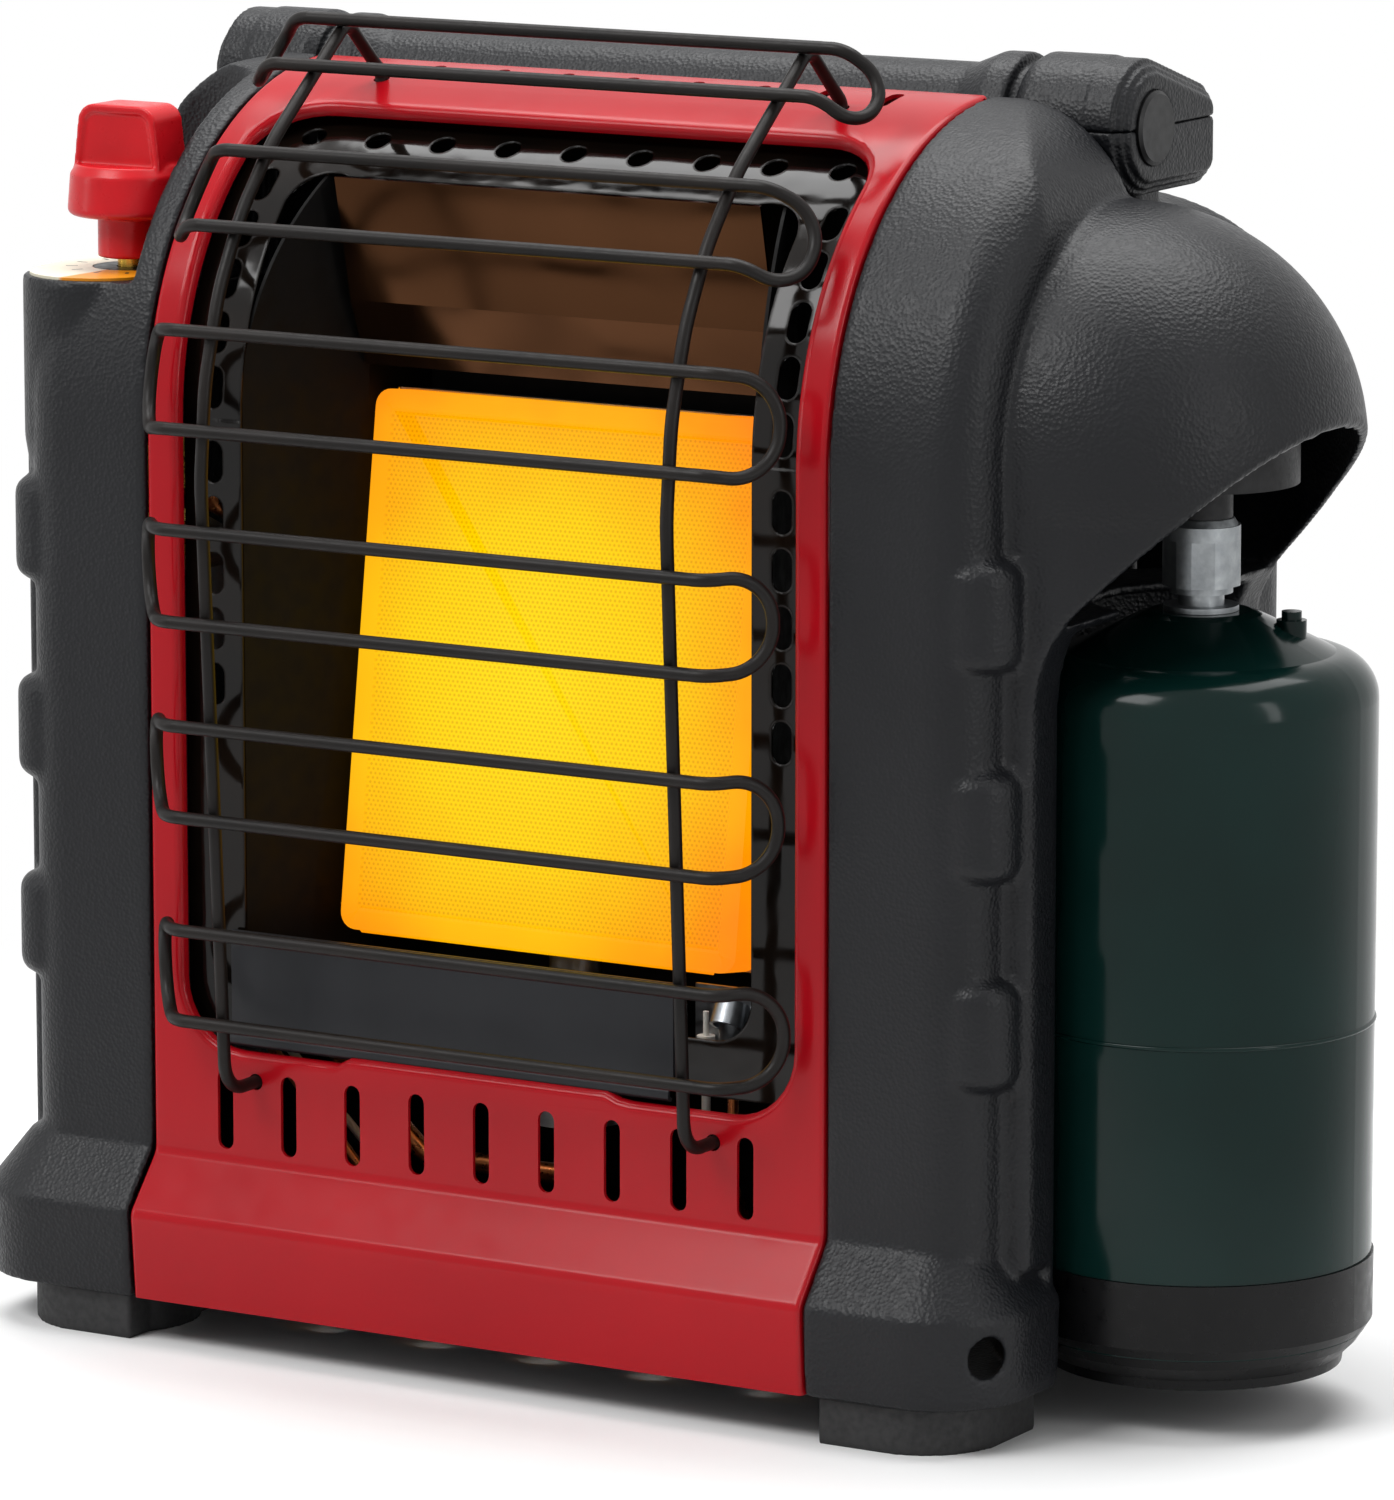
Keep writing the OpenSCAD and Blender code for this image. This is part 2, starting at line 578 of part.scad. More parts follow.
// round bar bent along a row of points, with one bend radius or one for each point
module bent(p, r, bends) {
    n = len(p) - 1;
    d = [for (i = [0:n - 1]) (p[i + 1] - p[i]) / norm(p[i + 1] - p[i])];
    turn = [for (i = [0:n]) i == 0 || i == n ? 0 : acos(d[i - 1] * d[i])];
    bend = [for (i = [0:n]) is_list(bends) ? bends[i] : bends];
    back = [for (i = [0:n]) bend[i] * tan(turn[i] / 2)];
    // each straight reaches a little way into its bends
    reach = [for (i = [0:n]) i == 0 || i == n ? 0 : 0.3];
    for (i = [0:n - 1]) {
        translate(p[i] + d[i] * (back[i] - reach[i])) rotate([0, acos(d[i][2]), atan2(d[i][1], d[i][0])])
            cylinder(h = norm(p[i + 1] - p[i]) - back[i] - back[i + 1] + reach[i] + reach[i + 1],
                r = r - 0.03, $fn = 32);
        if (i > 0) {
            z = cross(d[i - 1], d[i]) / sin(turn[i]);
            x = cross(d[i - 1], z);
            c = p[i] - d[i - 1] * back[i] - x * bend[i];
            y = d[i - 1];
            multmatrix([[x[0], y[0], z[0], c[0]], [x[1], y[1], z[1], c[1]], [x[2], y[2], z[2], c[2]]])
                rotate_extrude(angle = turn[i]) translate([bend[i], 0]) circle(r, $fn = 32);
        }
    }
}
module inlet_pipe() color("#c2813c") place()
    bent([[swivel_x - 9.5, 99, swivel_z], [-112, 99, swivel_z], [knob_x, 99, 244],
        [knob_x, 92, 232], [knob_x, knob_y + 12, 232]], 3, 8);
orifice_y = 51.5;
orifice_z = 62;
module burner_pipe() color("#c2813c") place()
    bent([[knob_x + 12, knob_y - 4, 240], [-110, knob_y - 4, 240], [-98, 60, 220], [-98, 66, 80],
        [-60, 66, orifice_z - 16], [0, 66, orifice_z - 16], [0, orifice_y, orifice_z - 16],
        [0, orifice_y, orifice_z - 9]], 3, 5.5);
module burner_orifice() color("#c9a545") place() translate([0, orifice_y, orifice_z - 9]) difference() {
    union() {
        cylinder(h = 7, r = 6, $fn = 6);
        cylinder(h = 12, r = 3.6);
    }
    translate([0, 0, -1]) cylinder(h = 5, r = 3.05);
    translate([0, 0, -1]) cylinder(h = 30, r = 0.8);
}
module on_burner() translate([0, tile_y, tile_z]) rotate([-tile_lean, 0, 0]) children();
plenum_t = 16;
module venturi() color("#8f9498") place() translate([0, orifice_y, orifice_z + 5]) difference() {
    union() {
        cylinder(h = 34, r = 10);
        cylinder(h = 8, r1 = 14, r2 = 10);
    }
    translate([0, 0, -1]) cylinder(h = 60, r = 9);
    translate([0, 0, -0.1]) cylinder(h = 8, r1 = 13, r2 = 9);
    for (a = [0:90:270]) rotate([0, 0, a + 45]) translate([0, 0, 14]) rotate([90, 0, 0]) cylinder(h = 30, d = 7);
}
module burner_plenum() color("#8a8d90") place() {
    on_burner() difference() {
        block(-tile_w / 2, tile_w / 2, tile_t + 1.5, tile_t + 1.5 + plenum_t, 0, tile_h);
        block(-tile_w / 2 + 4, tile_w / 2 - 4, tile_t, tile_t + plenum_t, 6, tile_h - 4);
        translate([0, tile_t + 1.5 + plenum_t / 2, -1]) cylinder(h = 10, r = 5.5);
    }
    // throat that the mixing tube feeds
    difference() {
        translate([0, orifice_y, orifice_z + 39.1]) cylinder(h = 18, r = 7.6);
        translate([0, orifice_y, orifice_z]) cylinder(h = 58.5, r = 5.4);
    }
}
module tile_gasket() color("#d8d5cc") place() on_burner() difference() {
    block(-tile_w / 2, tile_w / 2, tile_t + 0.02, tile_t + 1.48, 0, tile_h);
    block(-tile_w / 2 + 6, tile_w / 2 - 6, tile_t - 1, tile_t + 3, 6, tile_h - 6);
}
module burner_tile() color("#ffc21a") place() on_burner() difference() {
    r = 5;
    deep(0, tile_t) {
        translate([-tile_w / 2 + r, 0]) square([tile_w - 2 * r, tile_h]);
        translate([-tile_w / 2, r]) square([tile_w, tile_h - 2 * r]);
        for (x = [-1, 1], z = [r, tile_h - r]) translate([x * (tile_w / 2 - r), z]) circle(r);
    }
    // the plain border stands a little proud of the pierced field
    block(-tile_w / 2 + 8, tile_w / 2 - 8, -1, 0.8, 8, tile_h - 8);
}
box_back = 88;
module combustion_box() color("#232325") place() intersection() {
    translate([0, 0, 96]) linear_extrude(248) folded_sheet([[-85, 9.4], [-71, 54], [-71, box_back],
        [71, box_back], [71, 54], [85, 9.4]], 1);
    across(-100, 100) difference() {
        union() {
            translate([arch_r, arch_z]) circle(arch_r - 8.4, $fn = 128);
            translate([8.4, 119.4]) square([arch_r - 8.4 + 10, arch_z - 119.4]);
            translate([11, 90]) square([arch_r - 11 + 10, 30]);
        }
    }
}
module polished_reflector() color("#8d5a3a") place() difference() {
    across(-70, 70) folded_sheet([[60, 281], [52, 281], [44, 300], [36, 336]], 1);
    for (s = [-1, 1]) translate([s * 73, 36, 341]) rotate([0, s * -12, 0]) block(-4, 4, -30, 40, -70, 12);
}
band_in = 7.2;
module enamel_surround() color("#1a1716") place() difference() {
    intersection() {
        skin(band_in, band_in + 1, 103);
        union() {
            block(-103, 103, 0, 60, 90, arch_z);
            across(-103, 103) translate([arch_r, arch_z]) wedge2d(0, 69);
        }
    }
    window(84, 106, 50, 12, 0);
    for (s = [-1, 1]) {
        // slots up the straight sides
        for (i = [0:4]) translate([s * 93.5, 0, arch_z - 76 + 16 * i]) deep(0, 20) slot2d(6.5, 12);
        // slots that follow the arch
        for (i = [0:4]) translate([s * 93.5, arch_r, arch_z]) rotate([-(6 + 10.2 * i), 0, 0])
            rotate([90, 0, 0]) translate([0, 0, arch_r - 14]) linear_extrude(12) slot2d(6.5, 12);
    }
    // round holes across the head
    for (i = [-4:4]) translate([i * 21.8, arch_r, arch_z]) rotate([-60, 0, 0]) rotate([90, 0, 0])
        translate([0, 0, arch_r - 14]) cylinder(h = 12, d = 7.5);
}
module shield_plate() color("#2d2d30") place() {
    block(-90, 57, 9.4, 10.6, 90, 119);
    // rolled lower lip
    difference() {
        rod_x(-90, 57, 13, 90, 3.6);
        rod_x(-91, 58, 13, 90, 2.4);
        block(-91, 58, 8, 18, 90, 95);
    }
}
module pilot_assembly() color("#c6c9cc") place() {
    difference() {
        union() {
            translate([66, 28, 92]) cylinder(h = 16, r = 4);
            block(52, 76.4, 31, 32.2, 88, 116);
        }
        translate([66, 28, 91]) cylinder(h = 20, r = 2.4);
    }
    translate([66, 24.5, 106]) rotate([-30, 0, 0]) difference() {
        cylinder(h = 7, r = 5);
        translate([0, 0, -1]) cylinder(h = 9, r = 4);
    }
}
module pilot_pipe() color("#c2813c") place()
    bent([[knob_x + 13.5, knob_y + 7, 228], [-107, knob_y + 7, 228], [-105, 44, 212], [-105, 44, 84], [-60, 40, 40], [66, 40, 40],
        [66, 28, 60], [66, 28, 91.5]], 1.6, 6);
module thermocouple() color("#b08a60") place() {
    translate([74, 28.35, 90]) cylinder(h = 24, r = 1.6);
    translate([74, 28.35, 90]) cylinder(h = 8, r = 2.6);
}
module spark_electrode() color("#efece2") place() {
    translate([57, 28.35, 88]) cylinder(h = 14, r = 2.6);
    translate([57, 28.35, 101.9]) cylinder(h = 7, r = 0.8);
}
module igniter_lead() color("#d8d4c6") place()
    bent([[piezo_x, piezo_y + 12.3, 228], [piezo_x, piezo_y + 22, 228], [-120, piezo_y + 22, 214],
        [-106, piezo_y + 20, 204], [-106, 58, 186], [-106, 56, 80], [-58, 56, 34], [57, 56, 34], [57, 28.4, 60], [57, 28.4, 87.8]], 1.3, 4);
module tip_switch() color("#3a3a3c") place() {
    block(88, 106, 100, 124, under_z + 1.75, under_z + 26);
    translate([97, 112, under_z + 25.9]) cylinder(h = 8, r = 6);
    for (x = [90, 104]) block(x - 1.5, x + 1.5, 123.9, 130, under_z + 10, under_z + 16);
}

// ---------------------------------------------------------------- wire guard
module upright(x) bent([for (p = upright_path) [x, p[0], p[1]]], wire_d / 2, upright_bends);
module guard_upright_left() color(guard_colour) place() upright(-76);
module guard_upright_right() color(guard_colour) place() upright(76);
bend_back = 50;
loop_run = 6;
kink_r = 9;
// a closed loop of wire, its ends bent back towards the panel
module guard_loop(z0, z1) color(guard_colour) place() {
    a = bar_at(z0);
    b = bar_at(z1);
    g = norm(b - a) / 2;
    mid = (a + b) / 2;
    out = loop_run + g;
    end_x = loop_x + out * cos(bend_back);
    end_y = out * sin(bend_back);
    translate([0, mid[0], mid[1]]) rotate([-atan2(b[0] - a[0], b[1] - a[1]), 0, 0]) {
        for (s = [-1, 1]) rod_x(7 - loop_x, loop_x - 7, 0, s * g, wire_d / 2);
        for (m = [0, 1]) mirror([m, 0, 0])
            bent([[loop_x - 9, 0, g], [loop_x, 0, g], [end_x, end_y, g], [end_x, end_y, -g],
                [loop_x, 0, -g], [loop_x - 9, 0, -g]], wire_d / 2, [0, kink_r, g - 0.4, g - 0.4, kink_r, 0]);
    }
}
module guard_loop_1() guard_loop(364.6, 376.4);
module guard_loop_2() guard_loop(324, 343);
module guard_loop_3() guard_loop(270, 270 + loop_gap);
module guard_loop_4() guard_loop(215.5, 215.5 + loop_gap);
module guard_loop_5() guard_loop(159, 159 + loop_gap);
module guard_loop_6() guard_loop(99.5, 99.5 + loop_gap);

// ---------------------------------------------------------------- handle
module folded() translate([0, pivot_y, pivot_z]) rotate([-handle_lift, 0, 0]) translate([0, -pivot_y, -pivot_z])
    children();
drum_r = 19.7;
block_y = grip_y + 33;                 // centre of the rear corners of an end block
// side view of an end block, g inside its outline
module end_block(g) {
    translate([grip_y, grip_z]) circle(drum_r - 0.5 - g);
    for (z = [343, 357.5]) translate([block_y, z]) circle(7 - g);
    polygon([[grip_y, 336 + g], [block_y, 336 + g], [block_y, 357.5], [grip_y, grip_z]]);
    translate([block_y - 1, 343]) square([8 - g, 14.5]);
    // the top falls away towards the rear
    n = [0.302, 0.953];
    polygon([[grip_y, grip_z], [grip_y, grip_z] + n * (drum_r - 0.5 - g), [block_y, 357.5] + n * (7 - g),
        [block_y, 357.5]]);
}
module handle_solid() difference() {
    union() {
        rod_x(-97.5, 97.5, grip_y, grip_z, 15.5);
        for (m = [0, 1]) mirror([m, 0, 0]) {
            translate([97, grip_y, grip_z]) rotate([0, 90, 0]) rotate_extrude() {
                polygon([[0, 0], [15.8, 0], [17.4, 4], [19.2, 8.4], [19.2, 15.4], [18.4, 16.2], [15.6, 16.2],
                    [15.6, 19.4], [17.6, 19.4], [drum_r, 23], [drum_r, 42], [0, 42]]);
            }
            across(handle_x - 14, handle_x - 3.6) end_block(0);
            across(handle_x - 4, handle_x - 1.8) end_block(2);
            across(handle_x - 2, handle_x) end_block(4);
        }
    }
    for (m = [0, 1]) mirror([m, 0, 0]) {
        rod_x(handle_x - 20, handle_x - 4.4, pivot_y, pivot_z, pin_r + 0.05);
        // joint line opens to a notch at the rear
        translate([handle_x - 20, block_y + 7, grip_z - 2.83]) rotate([45, 0, 0]) cube([40, 4, 4]);
        // seat of the end cap
        rod_x(handle_x - 1, handle_x + 1, grip_y, grip_z, 10.8);
    }
    // finger notches along the front of the grip
    for (i = [-5:5]) translate([i * 19.7, grip_y - 21.5, grip_z - 15]) rotate([-4, 0, 0])
        cylinder(h = 25, r1 = 8.4, r2 = 3.6);
}
module handle_upper_half() color(casing_colour) place() folded() intersection() {
    handle_solid();
    block(-200, 200, 0, 200, grip_z + 0.02, 420);
}
module handle_lower_half() color(casing_colour) place() folded() intersection() {
    handle_solid();
    block(-200, 200, 0, 200, 300, grip_z - 0.02);
}
module handle_end_caps() color("#26282b") place() folded() both_sides()
    translate([handle_x - 0.98, grip_y, grip_z]) rotate([0, 90, 0]) rotate_extrude()
        polygon([[0, 0], [10.5, 0], [10.5, 1.4], [9.5, 2.2], [0, 2.2]]);
module handle_pivot_pins() color("#8c9196") place() both_sides()
    rod_x(side_x + 12.5, handle_x - 5, pivot_y, pivot_z, pin_r - 0.02);

// ---------------------------------------------------------------- regulator and cylinder
module swung() translate([swivel_x, 0, swivel_z]) rotate([0, -swing, 0]) translate([-swivel_x, 0, -swivel_z])
    children();
lug_y = [cyl_y - 18, cyl_y + 12];
module swivel_block() color("#a7abae") place() difference() {
    union() {
        block(swivel_x - 20, swivel_x - 8.4, lug_y[0], lug_y[1] + 6, niche_top + wall + 0.05, swivel_z + 4);
        for (y = lug_y) {
            rod_y(swivel_x, y, y + 6, swivel_z, 8);
            block(swivel_x - 9, swivel_x, y, y + 6, swivel_z - 8, swivel_z + 8);
        }
        rod_x(swivel_x - 20, swivel_x - 9, 99, swivel_z, 6);
    }
    rod_y(swivel_x, 0, 200, swivel_z, 3.2);
    rod_x(swivel_x - 30, swivel_x - 9.5, 99, swivel_z, 3.05);
}
module swivel_pin() color("#8c9196") place()
    rod_y(swivel_x, lug_y[0] - 3, lug_y[1] + 9, swivel_z, 3.15);
module regulator_body() color("#a9adb0") place() swung() difference() {
    union() {
        rod_y(swivel_x, lug_y[0] + 6.4, lug_y[1] - 0.4, swivel_z, 8);
        block(swivel_x, cyl_x, cyl_y - 7, cyl_y + 7, swivel_z - 6, swivel_z + 6);
        translate([cyl_x, cyl_y, swivel_z - 8]) cylinder(h = 14, r = 27);
        translate([cyl_x, cyl_y, 252]) cylinder(h = 12, r = 8.6);
    }
    rod_y(swivel_x, 0, 200, swivel_z, 3.2);
    translate([cyl_x, cyl_y, 240]) cylinder(h = 30, r = 3);
}
module regulator_cover() color("#8f9397") place() swung() translate([cyl_x, cyl_y, swivel_z + 6.02]) {
    rotate_extrude() polygon([[0, 0], [27, 0], [27, 3], [20, 6], [10, 6.5], [9, 13], [0, 13]]);
}
nut_r = 10.8;
module inlet_nut() color("#a9adb0") place() swung() translate([cyl_x, cyl_y, 233]) difference() {
    union() {
        cylinder(h = 17, r = nut_r);
        rotate_extrude() polygon([[0, 16], [nut_r, 16], [9, 18.9], [0, 18.9]]);
    }
    translate([0, 0, -1]) cylinder(h = 12, r = 8.85);
    translate([0, 0, 5]) cylinder(h = 30, r = 3);
    // grip flats
    for (a = [0:60:300]) rotate([0, 0, a]) block(nut_r - 0.5, nut_r + 4, -20, 20, -1, 13);
}
module inlet_seal() color("#161616") place() swung() translate([cyl_x, cyl_y, 241.9]) difference() {
    cylinder(h = 2, r = 8);
    translate([0, 0, -1]) cylinder(h = 5, r = 3.4);
}
base_top = 45.6;
module cylinder_shell() color("#0b2a28") place() swung() translate([cyl_x, cyl_y, 0]) difference() {
    rotate_extrude($fn = 128) {
        r = cyl_d / 2;
        difference() {
            union() {
                translate([0, 24]) square([r - 1.4, 30]);
                translate([0, base_top + 0.1]) square([r, 202 - base_top]);
                translate([0, 200]) square([r - 13, 15]);
                translate([r - 13, 202]) circle(13);
                polygon([[0, 210], [r - 9, 213.5], [24, 221.6], [17, 225], [14, 226], [0, 226]]);
                translate([r - 0.2, 112]) circle(0.7, $fn = 24);
            }
            // neck bore and the hollow inside
            square([9.02, 400]);
            translate([0, 25.2]) square([r - 2.6, 30]);
            translate([0, base_top + 1.3]) square([r - 1.2, 200.7 - base_top]);
            translate([0, 190]) square([r - 13, 20]);
            translate([r - 13, 202]) circle(11.8);
            polygon([[0, 205], [r - 9, 211], [24, 219.2], [12, 221.6], [0, 221.6]]);
        }
        translate([0, 24]) square([9.5, 1.2]);
    }
    // seat of the relief valve
    translate([24, 8, 216]) cylinder(h = 20, r = 4.25);
}
module cylinder_valve() color("#b8923c") place() swung() translate([cyl_x, cyl_y, 0]) difference() {
    union() {
        translate([0, 0, 205]) cylinder(h = 21.2, r = 9);
        translate([0, 0, 226.1]) cylinder(h = 1.5, r = 10.5);
        translate([0, 0, 227]) cylinder(h = 5, r = 6.4);
        translate([0, 0, 231]) cylinder(h = 8.5, r = 8.8);
        translate([0, 0, 239]) cylinder(h = 2.6, r = 6);
    }
    translate([0, 0, 215]) cylinder(h = 40, r = 2.5);
}
module relief_valve() color("#d9d9d4") place() swung() translate([cyl_x + 24, cyl_y + 8, 216.02]) {
    cylinder(h = 8, r = 4.2);
    cylinder(h = 10.4, r = 2.8);
}
module cylinder_base() color("#1b1b1b") place() swung() translate([cyl_x, cyl_y, 0]) rotate_extrude($fn = 128)
    difference() {
        polygon([[0, 20], [41, 14.2], [41.6, 14.2], [42, 17], [46, 21], [50, 27], [cyl_d / 2 + 0.6, base_top], [0, base_top]]);
        translate([0, 23.9]) square([cyl_d / 2 - 1.3, 40]);
        polygon([[0, 0], [38.5, 0], [38.5, 16], [30, 20], [0, 20.5]]);
    }

// ---------------------------------------------------------------- screws
module casing_screws() color("#9ea3a8") place() both_sides() for (z = screw_z)
    translate([side_x + 9, body_d - 9.9, z]) rotate([90, 0, 0]) {
        cylinder(h = 22, r = 1.55);
        translate([0, 0, -2]) difference() {
            cylinder(h = 2.05, r = 3.2);
            translate([-2.5, -0.4, -1]) cube([5, 0.8, 1.9]);
            translate([-0.4, -2.5, -1]) cube([0.8, 5, 1.9]);
        }
    }
module back_screws() color("#9ea3a8") place() both_sides() for (z = back_screw_z)
    translate([panel_w / 2 - 8, body_d - 8 + sheet / 2 + 0.02, z]) rotate([-90, 0, 0]) difference() {
        rotate_extrude() polygon([[0, -8], [1.4, -8], [1.4, 0], [3.6, 0], [3.4, 1], [2, 2], [0, 2.2]]);
        translate([-2.5, -0.4, 1.2]) cube([5, 0.8, 3]);
        translate([-0.4, -2.5, 1.2]) cube([0.8, 5, 3]);
    }

left_casing();
right_casing();
front_panel();
back_panel();
base_pan();
foot_front_left();
foot_front_right();
foot_rear_left();
foot_rear_right();
deck_dial();
knob_gland();
control_knob();
valve_stem();
igniter_plunger();
stem_spring();
gas_valve();
valve_bracket();
inlet_pipe();
burner_pipe();
burner_orifice();
venturi();
burner_plenum();
tile_gasket();
burner_tile();
combustion_box();
polished_reflector();
enamel_surround();
shield_plate();
pilot_assembly();
pilot_pipe();
thermocouple();
spark_electrode();
piezo_igniter();
igniter_lead();
tip_switch();
guard_loop_1();
guard_loop_2();
guard_loop_3();
guard_loop_4();
guard_loop_5();
guard_loop_6();
guard_upright_left();
guard_upright_right();
handle_upper_half();
handle_lower_half();
handle_end_caps();
handle_pivot_pins();
swivel_block();
regulator_body();
regulator_cover();
swivel_pin();
inlet_nut();
inlet_seal();
cylinder_shell();
cylinder_valve();
relief_valve();
cylinder_base();
casing_screws();
back_screws();
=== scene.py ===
import bpy, bmesh, math
from mathutils import Matrix, Vector


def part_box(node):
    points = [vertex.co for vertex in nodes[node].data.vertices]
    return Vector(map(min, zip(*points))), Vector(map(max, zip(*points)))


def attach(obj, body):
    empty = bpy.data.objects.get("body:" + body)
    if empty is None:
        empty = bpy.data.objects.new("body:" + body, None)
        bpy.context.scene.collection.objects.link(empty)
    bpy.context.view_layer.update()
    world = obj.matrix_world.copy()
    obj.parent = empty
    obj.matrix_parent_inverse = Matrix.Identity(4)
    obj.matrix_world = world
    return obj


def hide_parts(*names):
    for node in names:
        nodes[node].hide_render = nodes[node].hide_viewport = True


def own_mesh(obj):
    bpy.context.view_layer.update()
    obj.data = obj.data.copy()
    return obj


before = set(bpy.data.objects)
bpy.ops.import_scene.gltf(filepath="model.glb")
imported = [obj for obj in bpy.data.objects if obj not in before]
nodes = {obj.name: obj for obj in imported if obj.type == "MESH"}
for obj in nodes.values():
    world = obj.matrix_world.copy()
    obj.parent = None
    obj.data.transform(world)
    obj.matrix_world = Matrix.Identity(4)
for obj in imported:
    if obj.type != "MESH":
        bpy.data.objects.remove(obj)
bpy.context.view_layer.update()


# ---------------------------------------------------------------- camera
# It stands where the straight edges of the photograph say: 31 degrees to the right of the panel,
# 10 degrees above it and about 2.4 m away, with a long lens.
MIDDLE = Vector((-29.55, -76.0485, 0.0))


def at(x, y, z):
    """a point in millimetres, counted from the panel's face and middle, as a place in metres"""
    return (Vector((x, y, z)) + MIDDLE) / 1000


cam_data = bpy.data.cameras.new("camera")
cam_data.sensor_fit = "HORIZONTAL"
cam_data.sensor_width = 36
cam_data.lens = 225.43
cam_data.clip_end = 100
camera = bpy.data.objects.new("camera", cam_data)
bpy.context.scene.collection.objects.link(camera)
turn, dip, far = math.radians(30.697), math.radians(10.346), 2404.33
look = Vector((-math.sin(turn) * math.cos(dip), math.cos(turn) * math.cos(dip), -math.sin(dip)))
camera.location = at(70.881, 0, 189.165) - look * far / 1000
camera.rotation_euler = (math.pi / 2 - dip, 0, turn)
bpy.context.scene.camera = camera


# ---------------------------------------------------------------- studio floor and light
# A sheet of matt white paper under the heater keeps its shadow, and lies on a darker studio floor.
# Further off, the camera and all that mirrors the room see plain white instead.
def lin(code):
    """an sRGB colour, such as "b01e28", as linear light"""
    c = [int(code[i:i + 2], 16) / 255 for i in (0, 2, 4)]
    return tuple(v / 12.92 if v <= 0.04045 else ((v + 0.055) / 1.055) ** 2.4 for v in c) + (1.0,)


def add(nt, kind, settings=None, links=None):
    """adds a shader node with its settings, and sets or links its inputs"""
    n = nt.nodes.new("ShaderNode" + kind)
    for k, v in (settings or {}).items():
        setattr(n, k, v)
    for k, v in (links or {}).items():
        if isinstance(v, bpy.types.NodeSocket):
            nt.links.new(v, n.inputs[k])
        else:
            n.inputs[k].default_value = v
    return n


def seen_rays(nt):
    """1 for rays from the camera, off a gloss or through glass, and 0 for those that give light"""
    ray = add(nt, "LightPath").outputs
    gloss = add(nt, "Math", {"operation": "MAXIMUM"},
                {0: ray["Is Glossy Ray"], 1: ray["Is Transmission Ray"]}).outputs[0]
    return add(nt, "Math", {"operation": "MAXIMUM"},
               {0: ray["Is Camera Ray"], 1: gloss}).outputs[0]


bpy.ops.object.select_all(action="DESELECT")
bpy.ops.mesh.primitive_plane_add(size=60, location=(0, 0, 0))
floor = bpy.context.object
floor.name = "floor"
sweep = bpy.data.materials.new("matt_white_paper_sweep")
sweep.use_nodes = True
nt = sweep.node_tree
paper = nt.nodes["Principled BSDF"]
paper.inputs["Roughness"].default_value = 0.9
paper.inputs["Specular IOR Level"].default_value = 0.2
co = add(nt, "TexCoord").outputs["Object"]
away = add(nt, "VectorMath", {"operation": "LENGTH"}, {0: co}).outputs["Value"]
fade = add(nt, "MapRange", {"interpolation_type": "SMOOTHSTEP"},
           {"Value": away, "From Min": 0.3, "From Max": 0.62}).outputs["Result"]
seen = add(nt, "Math", {"operation": "MULTIPLY"}, {0: fade, 1: seen_rays(nt)}).outputs[0]
reach = add(nt, "MapRange", {"interpolation_type": "SMOOTHSTEP"},
            {"Value": away, "From Min": 0.45, "From Max": 1.0}).outputs["Result"]
tone = add(nt, "Mix", {"data_type": "RGBA"}, {"Factor": reach, 6: lin("f6f6f6"), 7: lin("5c5c5e")})
nt.links.new(tone.outputs[2], paper.inputs["Base Color"])
white = add(nt, "Emission", links={"Color": (1, 1, 1, 1), "Strength": 1.0}).outputs[0]
both = add(nt, "MixShader", links={0: seen, 1: paper.outputs[0], 2: white})
nt.links.new(both.outputs[0], nt.nodes["Material Output"].inputs["Surface"])
floor.data.materials.append(sweep)

# Soft boxes: a wide one overhead for the sheen on the tops, one high in front, and a tall strip
# at each side for the long highlights in the cylinder. Sizes and places in metres, power in watts.
for name, place, aim, size, power in (
        ("overhead_box", (-0.1, 0.45, 2.2), (0, 0, 0.15), (2.3, 1.5), 60),
        ("front_box", (-0.7, -1.5, 1.9), (0, 0, 0.15), (1.3, 0.9), 32),
        ("left_strip", (-2.1, -1.3, 0.8), (0, 0, 0.2), (0.35, 1.5), 6),
        ("right_strip", (2.2, -0.5, 0.9), (0, 0, 0.2), (0.3, 1.6), 8)):
    lamp = bpy.data.lights.new(name, "AREA")
    lamp.shape = "RECTANGLE"
    lamp.size, lamp.size_y = size
    lamp.energy = power
    o = bpy.data.objects.new(name, lamp)
    bpy.context.scene.collection.objects.link(o)
    o.location = place
    o.rotation_euler = (Vector(aim) - Vector(place)).to_track_quat("-Z", "Y").to_euler()

# the room's walls give little light, more from above than from below
world = bpy.data.worlds.new("studio")
bpy.context.scene.world = world
world.use_nodes = True
wt = world.node_tree
height = add(wt, "SeparateXYZ", links={0: add(wt, "TexCoord").outputs["Generated"]}).outputs["Z"]
wall = add(wt, "ValToRGB", links={"Fac": height})
wall.color_ramp.elements[0].color = (0.13, 0.13, 0.135, 1)
wall.color_ramp.elements[1].color = (0.42, 0.42, 0.42, 1)
room = add(wt, "Mix", {"data_type": "RGBA"},
           {"Factor": seen_rays(wt), 6: wall.outputs["Color"], 7: (1, 1, 1, 1)})
wt.links.new(room.outputs[2], wt.nodes["Background"].inputs["Color"])
bpy.context.scene.view_settings.view_transform = "Standard"


